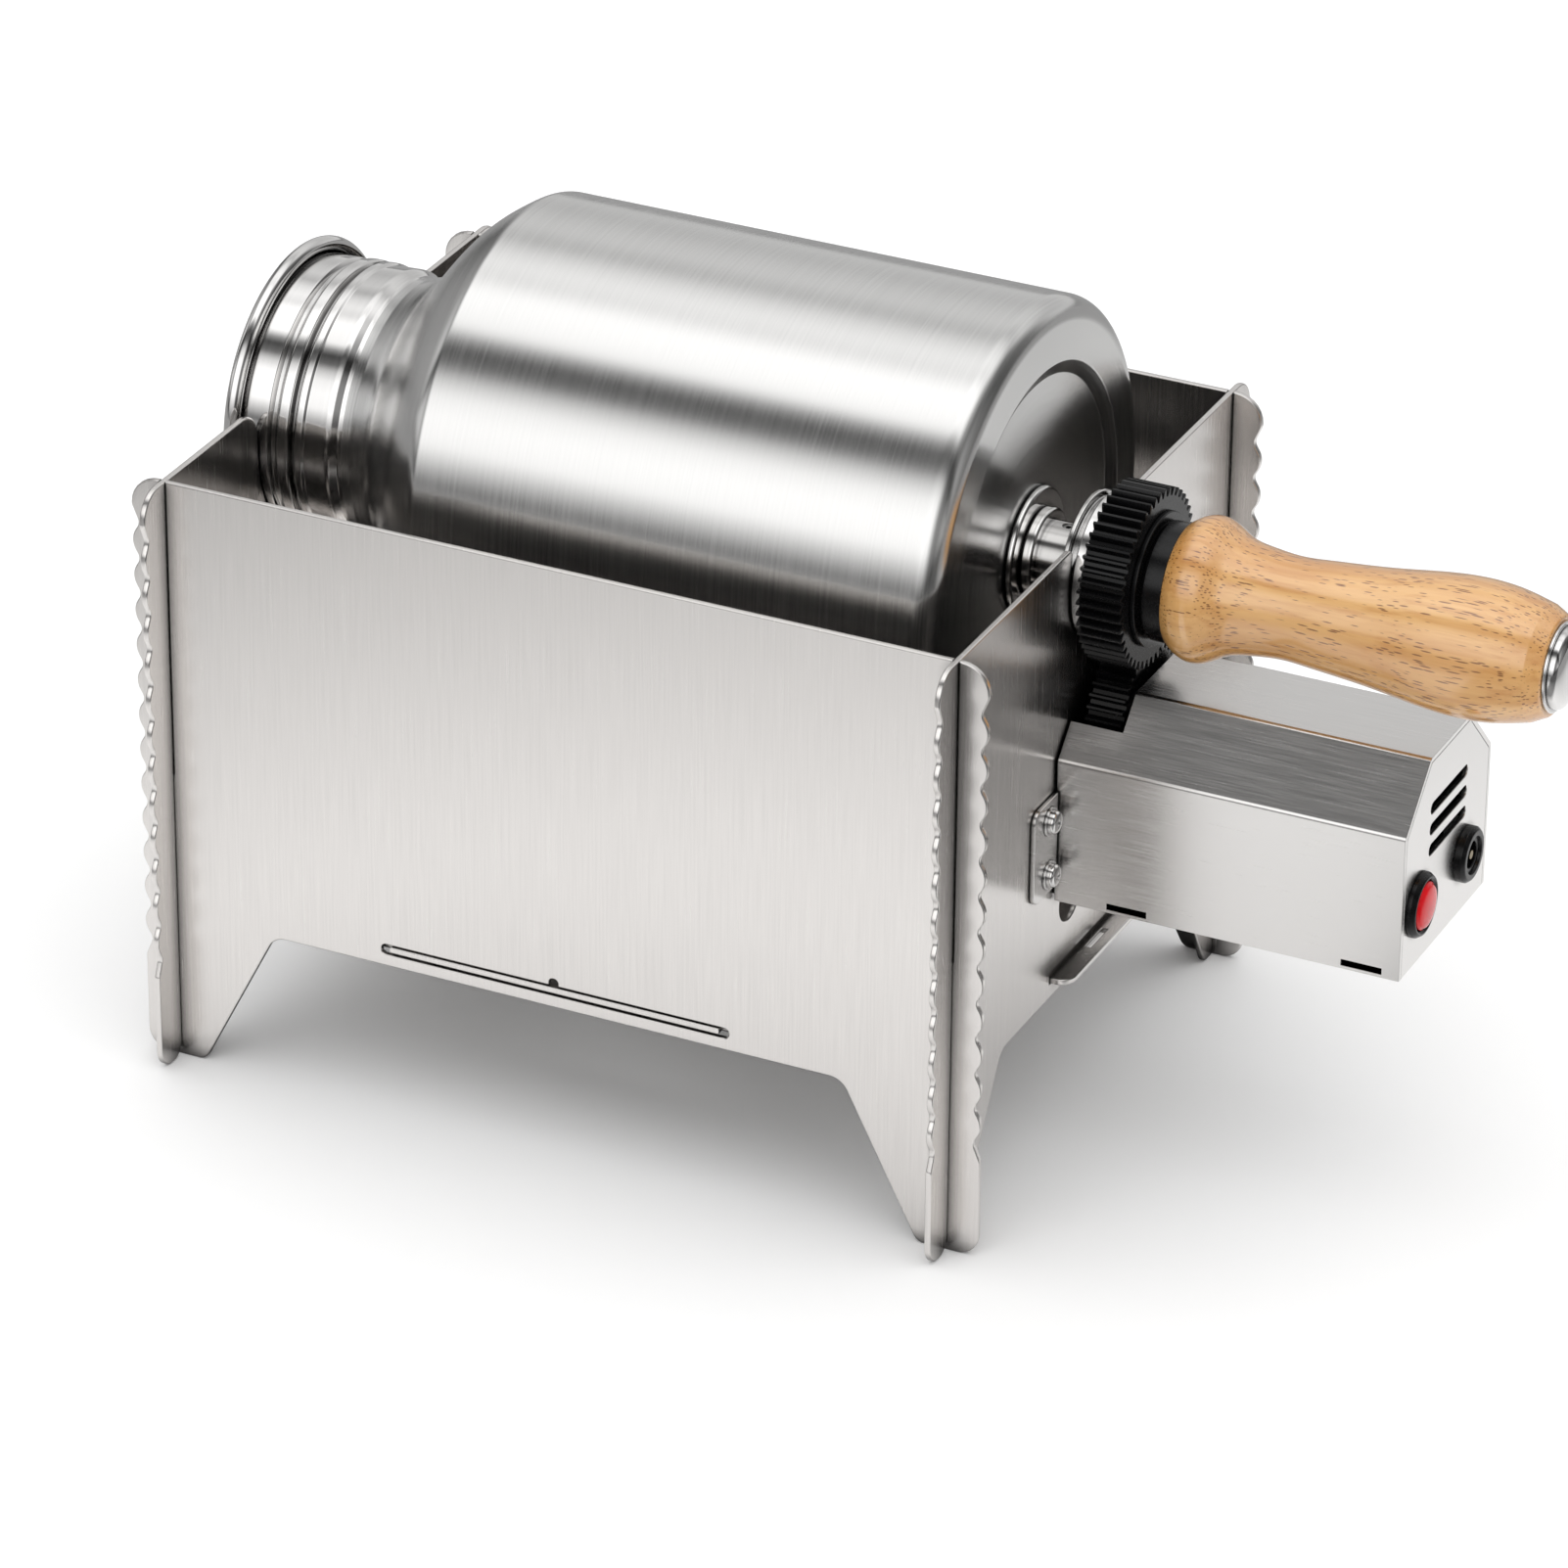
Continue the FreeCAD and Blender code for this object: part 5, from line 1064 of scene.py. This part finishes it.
class ROASTER_OT_motor_cover(bpy.types.Operator):
    """Makes the folded motor cover, its end plate with vents, and its two flanges"""

    bl_idname = "roaster.motor_cover"
    bl_label = "Motor cover"

    def execute(self, context):
        sizes = in_millimetres(context.scene.roaster_drive)
        sheet = sizes.cover_sheet
        box = span("motor_cover")
        start, end = box.left + sizes.cover_gap, box.right
        path = rounded(cover_path(sizes.cover_bend))
        notch_end = box.left + GEAR_NOTCH_REACH
        slots = [[box.left + far for far in FIRST_SLOT], [end - far for far in LAST_SLOT]]
        along = np.array([start, notch_end, *slots[0], *COVER_LINES, *slots[1], end])
        middle_along = (along[:-1, None] + along[1:, None]) / 2
        up = ((path[:-1] + path[1:]) / 2)[None, :, 1]
        gone = (middle_along < notch_end) & (up > GEAR_NOTCH_TOP)
        slot_cells = (up > COVER_SLOT_LOW) & (up < COVER_SLOT_HIGH)
        for near, far in slots:
            gone |= (middle_along > near) & (middle_along < far) & slot_cells
        channel = folded_channel(along, path, sheet, gone)
        make("motor_cover_folded", channel, "frame", "box_steel", ["motor_cover"], 0.14)
        shape = set_up(self.end_plate(sheet), ALONG_Y, (end - sheet, 0, 0))
        make("motor_cover_end", shape, "frame", "box_steel", ["motor_cover"])
        for side, near, places in SIDE_FLANGES:
            far = getattr(box, side)
            corners = [(near, SIDE_FLANGE_LOW, 0), (far, SIDE_FLANGE_LOW, SIDE_FLANGE_CORNER)]
            corners += [(far, SIDE_FLANGE_HIGH, SIDE_FLANGE_CORNER), (near, SIDE_FLANGE_HIGH, 0)]
            shape = plate([rounded(corners), *screw_holes(places)], sheet, SIDE_FLANGE_EDGE)
            shape = set_up(shape, ALONG_Y, (box.left, 0, 0))
            make(f"motor_cover_{side}_flange", shape, "frame", "box_steel", ["motor_cover"])
        return {"FINISHED"}

    def end_plate(self, sheet):
        """The plate that closes the folded sheet: its section moved in by the sheet and a gap,
        and so its bends at 45 degrees by the square root of 2, less 1, times that."""
        inset = sheet + END_PLATE_GAP
        slant = inset * (math.sqrt(2) - 1)
        front, back = COVER.front + inset, COVER.back - inset
        knee, top, bend = COVER.knee - slant, COVER.top - inset, END_PLATE_RADIUS
        corners = [(front, COVER.foot, 0), (back, COVER.foot, 0), (back, knee, bend)]
        corners += [(COVER.right - slant, top, bend), (COVER.left + slant, top, bend)]
        corners += [(front, knee, bend)]
        vents = [slot(VENT_MIDDLE, up, VENT_HALF, VENT_RADIUS) for up in VENT_HEIGHTS]
        fittings = [circle(*hole) for hole in FITTING_HOLES]
        return plate([rounded(corners), *vents, *fittings], sheet, END_PLATE_EDGE)


WASHER_BORE, WASHER_RADIUS = 1.6, 3.5
FIRST_TURN, NEXT_TURN = 0.5, 0.9


def cross_depth(across, up, half, width, depth, slope=0.16):
    """The depth of a cross recess: full inside its two arms, with a short slope at their sides."""
    level = np.maximum(abs(across) - half, abs(up) - width)
    upright = np.maximum(abs(up) - half, abs(across) - width)
    inside = np.clip(-np.minimum(level, upright) / slope, 0, 1)
    return depth * inside * inside * (3 - 2 * inside)


def pan_head(start, across, up, turn):
    """A pan head screw that points along X: at distance r of its axis the head is as high as
    0.35 plus 0.65 times the square root of 1 - (r / R)^4 of its height, less the cross recess."""
    count, rows = 72, 26
    radius, height, shank = 2.8, 1.9, 1.5
    angle = np.arange(count) * 2 * np.pi / count
    share = np.sin(np.linspace(0, np.pi / 2, rows))[:, None] * np.ones(count)
    far = radius * share
    one, other = far * np.cos(angle + turn), far * np.sin(angle + turn)
    dome = 0.35 * height + 0.65 * height * np.sqrt(np.clip(1 - share**4, 0, 1))
    along = start + dome - cross_depth(one, other, half=1.15, width=0.26, depth=0.4)
    rest = np.ones(count)
    tail = [(start, radius), (start, shank), (start - 8.0, shank), (start - 8.0, 0)]
    along = np.concatenate([along, [place * rest for place, _ in tail]])
    far = np.concatenate([far, [value * rest for _, value in tail]])
    return ringed(along, far, across, up, False)


class ROASTER_OT_screws(bpy.types.Operator):
    """Makes the cover's four cross recessed screws and their washers"""

    bl_idname = "roaster.screws"
    bl_label = "Cover screws"

    def execute(self, context):
        washer = span("cover_washers")
        profile = ring_profile(washer.left, washer.right, WASHER_BORE, WASHER_RADIUS)
        heads, rings = [], []
        for number, place in enumerate(SCREW_PLACES):
            heads.append(pan_head(washer.right, *place, FIRST_TURN + NEXT_TURN * number))
            rings.append(turned(profile, 60, *place))
        make("cover_screw_heads", joined(*heads), "frame", "bright_steel", ["cover_screws"])
        rings = joined(*rings)
        make("cover_washer_rings", rings, "frame", "bright_steel", ["cover_washers"], 0.12)
        return {"FINISHED"}


def make_fitting(name, node, profile, body, place):
    """A round fitting: its profile turned about its node's own axis."""
    box = span(node)
    make(name, turned(rounded(profile), 96, box.across, box.up), body, place, [node])


class ROASTER_OT_fittings(bpy.types.Operator):
    """Makes the power socket, the button's bezel and its domed cap"""

    bl_idname = "roaster.fittings"
    bl_label = "Power socket and button"

    def execute(self, context):
        face = span("motor_cover").right
        box = span("inlet_body")
        deep, lip, left, right = box.right - 9.5, box.right - 0.7, box.left, box.right
        profile = [(deep, 0, 0), (deep, 3.15, 0), (lip, 3.15, 0.3), (lip, 4.4, 0)]
        profile += [(right, 4.6, 0.25), (right, 6.0, 0.6), (right - 0.9, 6.75, 0.5)]
        profile += [(face, 6.75, 0.2), (face, 5.5, 0), (left, 5.5, 0), (left, 0, 0)]
        make_fitting("power_socket", "inlet_body", profile, "frame", "black_plastic")
        box = span("button_body")
        deep, left, right = box.right - 9.0, box.left, box.right
        profile = [(deep, 0, 0), (deep, 6.0, 0), (right - 0.5, 6.0, 0.2), (right, 6.5, 0.3)]
        profile += [(right, 7.0, 0.5), (right - 1.2, 7.8, 0.7), (face, 7.8, 0.2)]
        profile += [(face, 6.9, 0), (left, 6.9, 0), (left, 0, 0)]
        make_fitting("button_bezel", "button_body", profile, "frame", "black_plastic")
        box = span("button_cap")
        angle = np.linspace(0, np.pi / 2, 12)
        rise, radius, side = 0.8, 5.1, 5.7
        dome = [box.right - rise + rise * np.cos(angle), radius * np.sin(angle)]
        profile = [*corners_of(np.stack(dome, 1)), (box.right - 1.3, side, 0.3)]
        profile += [(box.left, side, 0), (box.left, 0, 0)]
        make_fitting("button_lens", "button_cap", profile, "button", "red_plastic")
        return {"FINISHED"}


class ROASTER_OT_inner_pieces(bpy.types.Operator):
    """Gives the pieces that stay as they are packed their finishes"""

    bl_idname = "roaster.inner_pieces"
    bl_label = "Inner pieces"

    def execute(self, context):
        for part in frame["record"]["subparts"]:
            for kept in frame["nodes"][part["node"]].material_slots:
                kept.material = finishes[part["material_slot"]]
        return {"FINISHED"}


# Stage

LENS, SENSOR = 186.0, 36.0
CAMERA_PLACE = (0.693699, -1.519993, 0.966150)
CAMERA_TURNS = ((25.537, "Z"), (90 - 28.162, "X"), (0.497, "Z"))
FLOOR_RADIUS, FLOOR_CORNERS = 4.0, 64

# The floor's tone as mirroring steel sees it, with painted light and shade: a painted falloff of
# light over shares of a reach from the middle, in metres, a painted dark patch near the right
# front corner, and a painted shadow under the frame, whose half length and width are given
PAINTED_FALLOFF_REACH = 0.6
PAINTED_FALLOFF_RINGS = [(0.0, 0.88), (0.4, 0.9), (0.6, 0.7), (1.0, 0.3)]
PAINTED_DARK_CORNER_X, PAINTED_DARK_CORNER_Y, PAINTED_DARK_CORNER_DIM = (0.086, 0.106), (-0.09, -0.03), 0.3
PAINTED_SHADOW_HALF_LENGTH, PAINTED_SHADOW_HALF_WIDTH, PAINTED_SHADOW_DIM, PAINTED_SHADOW_EDGE = 0.1, 0.077, 0.06, (0.97, 1.08)
FLOOR_GREY = (0.8, 0.8, 0.8, 1)
WHITE = (1, 1, 1, 1)

# The studio's light over degrees from the front horizon over the top, and from left to right
OVER_THE_TOP = [
    (0, 0.2), (9, 0.8), (17, 1.42), (30, 1.5), (40, 1.34), (48, 0.82), (54, 0.18), (62, 0.06),
    (67, 0.35), (73, 1.4), (92, 1.52), (101, 1.05), (110, 1.2), (119, 0.98), (128, 0.58),
    (139, 0.78), (149, 0.7), (160, 0.58), (170, 0.6), (180, 0.72),
]
LEFT_TO_RIGHT = [
    (0.0, 0.5), (0.07, 0.5), (0.15, 0.15), (0.22, 0.8), (0.29, 1.0),
    (0.72, 1.0), (0.8, 0.25), (0.9, 0.1), (1.0, 0.4),
]
DOME_LOW, DOME_HIGH = 0.1, 1.85


class ROASTER_OT_stage(bpy.types.Operator):
    """Makes the pale floor, the soft studio light and the camera"""

    bl_idname = "roaster.stage"
    bl_label = "Stage"

    def execute(self, context):
        scene = context.scene
        scene.view_settings.view_transform = "Standard"
        self.floor(scene)
        self.studio(scene)
        self.camera(scene)
        return {"FINISHED"}

    def floor(self, scene):
        """A pale disc. Mirroring steel sees it in rings that darken outwards, a painted falloff of
        light, times a share that is low under the frame and near its right front corner, a painted
        shadow and a painted dark patch."""
        recipe = Recipe("pale_floor")
        where = recipe.node("TexCoord", "Object", {})
        far = recipe.node("VectorMath", "Value", {0: where}, operation="LENGTH")
        # Painted falloff of light: the mirrored floor darkens in rings outwards.
        painted_floor_tone = recipe.ramp(recipe.math("DIVIDE", far, PAINTED_FALLOFF_REACH), PAINTED_FALLOFF_RINGS)
        x, y, _ = recipe.parts(where)
        # Painted dark patch near the right front corner, seen only by mirroring steel.
        right = recipe.ranged(x, 0, 1, *PAINTED_DARK_CORNER_X)
        near = recipe.ranged(y, 1, 0, *PAINTED_DARK_CORNER_Y)
        corner = recipe.ranged(recipe.math("MULTIPLY", right, near), 1, PAINTED_DARK_CORNER_DIM, 0, 1)
        # Painted shadow under the frame, seen only by mirroring steel.
        along = recipe.math("DIVIDE", recipe.math("SUBTRACT", x, MIDDLE), PAINTED_SHADOW_HALF_LENGTH)
        across = recipe.math("DIVIDE", y, PAINTED_SHADOW_HALF_WIDTH)
        away = recipe.math("MAXIMUM", *(recipe.math("ABSOLUTE", part) for part in (along, across)))
        under = recipe.ranged(away, PAINTED_SHADOW_DIM, 1.0, *PAINTED_SHADOW_EDGE)
        dim = recipe.math("MULTIPLY", corner, under)
        painted_floor_tone = recipe.node("VectorMath", 0, {0: painted_floor_tone, "Scale": dim}, operation="SCALE")
        # Only glossy rays see the painted light and shade; other rays see the plain floor colour.
        tone = recipe.blend(recipe.ray("Glossy"), FLOOR_GREY, painted_floor_tone)
        tone = recipe.blend(recipe.ray("Camera"), tone, WHITE)
        shader = recipe.node("BsdfDiffuse", 0, {"Color": tone})
        recipe.feed(recipe.tree.nodes["Material Output"].inputs["Surface"], shader)
        mesh = bpy.data.meshes.new("floor")
        rim = np.column_stack([circle(0, 0, FLOOR_RADIUS, FLOOR_CORNERS), np.zeros(FLOOR_CORNERS)])
        mesh.from_pydata(rim.tolist(), [], [list(range(FLOOR_CORNERS))])
        mesh.materials.append(recipe.material)
        floor = bpy.data.objects.new("floor", mesh)
        scene.collection.objects.link(floor)
        floor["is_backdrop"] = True

    def studio(self, scene):
        """Light that depends on the angle about X, from the front horizon over the top to the
        back one, with one narrow dark gap between the front and the top light, times a light
        that is dim to the left and to the right. Mirroring steel sees it. Matt surfaces see a
        dome that is brighter towards the top, and the camera sees white."""
        world = bpy.data.worlds.new("studio")
        scene.world = world
        world.use_nodes = True
        nodes = Nodes(world.node_tree)
        x, y, z = nodes.parts(nodes.node("TexCoord", "Generated", {}))
        turn = nodes.math("ARCTAN2", z, nodes.math("MULTIPLY", y, -1))
        stops = [(angle / 180, value) for angle, value in OVER_THE_TOP]
        over = nodes.ramp(nodes.math("DIVIDE", turn, math.pi), stops)
        sides = nodes.ramp(nodes.ranged(x, 0, 1, -1, 1), LEFT_TO_RIGHT)
        dome = nodes.ranged(z, DOME_LOW, DOME_HIGH, 0, 1)
        light = nodes.blend(nodes.ray("Diffuse"), nodes.vector("MULTIPLY", over, sides), dome)
        background = nodes.tree.nodes["Background"]
        nodes.feed(background.inputs["Color"], light)
        white = nodes.node("Background", 0, {"Color": WHITE})
        inputs = {0: nodes.ray("Camera"), 1: background.outputs[0], 2: white}
        mix = nodes.node("MixShader", 0, inputs)
        nodes.feed(nodes.tree.nodes["World Output"].inputs["Surface"], mix)

    def camera(self, scene):
        lens = bpy.data.cameras.new("camera")
        lens.lens = LENS
        lens.sensor_width = SENSOR
        lens.sensor_fit = "HORIZONTAL"
        made = bpy.data.objects.new("camera", lens)
        turn = Matrix.Identity(4)
        for degrees, axis in CAMERA_TURNS:
            turn = turn @ Matrix.Rotation(math.radians(degrees), 4, axis)
        made.matrix_world = Matrix.Translation(CAMERA_PLACE) @ turn
        scene.collection.objects.link(made)
        scene.camera = made


class ROASTER_PT_sidebar(bpy.types.Panel):
    """Lists the roaster's pieces, its sizes and its colours"""

    bl_idname = "ROASTER_PT_sidebar"
    bl_label = "Drum coffee roaster"
    bl_space_type = "VIEW_3D"
    bl_region_type = "UI"
    bl_category = "Roaster"

    def draw(self, context):
        for operator in OPERATORS:
            self.layout.operator(operator.bl_idname)
        for name, group in GROUPS.items():
            column = self.layout.column()
            for size in group.__annotations__:
                column.prop(getattr(context.scene, name), size)


OPERATORS = (
    ROASTER_OT_stage,
    ROASTER_OT_inner_pieces,
    ROASTER_OT_long_panels,
    ROASTER_OT_end_panels,
    ROASTER_OT_shelf,
    ROASTER_OT_drum,
    ROASTER_OT_neck,
    ROASTER_OT_rings,
    ROASTER_OT_gears,
    ROASTER_OT_handle,
    ROASTER_OT_motor_cover,
    ROASTER_OT_screws,
    ROASTER_OT_fittings,
)
GROUPS = {
    "roaster_panels": PanelSizes,
    "roaster_drum": DrumSizes,
    "roaster_drive": DriveSizes,
    "roaster_colours": Colours,
}


def register():
    for group in GROUPS.values():
        bpy.utils.register_class(group)
    for item in (*OPERATORS, ROASTER_PT_sidebar):
        bpy.utils.register_class(item)
    for name, group in GROUPS.items():
        setattr(bpy.types.Scene, name, PointerProperty(type=group))


def unregister():
    for name in GROUPS:
        delattr(bpy.types.Scene, name)
    for item in (ROASTER_PT_sidebar, *reversed(OPERATORS), *reversed(GROUPS.values())):
        bpy.utils.unregister_class(item)


def main():
    """Builds everything."""
    register()
    make_finishes()
    for operator in OPERATORS:
        category, name = operator.bl_idname.split(".")
        getattr(getattr(bpy.ops, category), name)()
    bounds = {"packed": packed_bounds, "dressed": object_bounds()}
    bounds = {name: [list(corner) for corner in box] for name, box in bounds.items()}


if __name__ == "__main__":
    main()
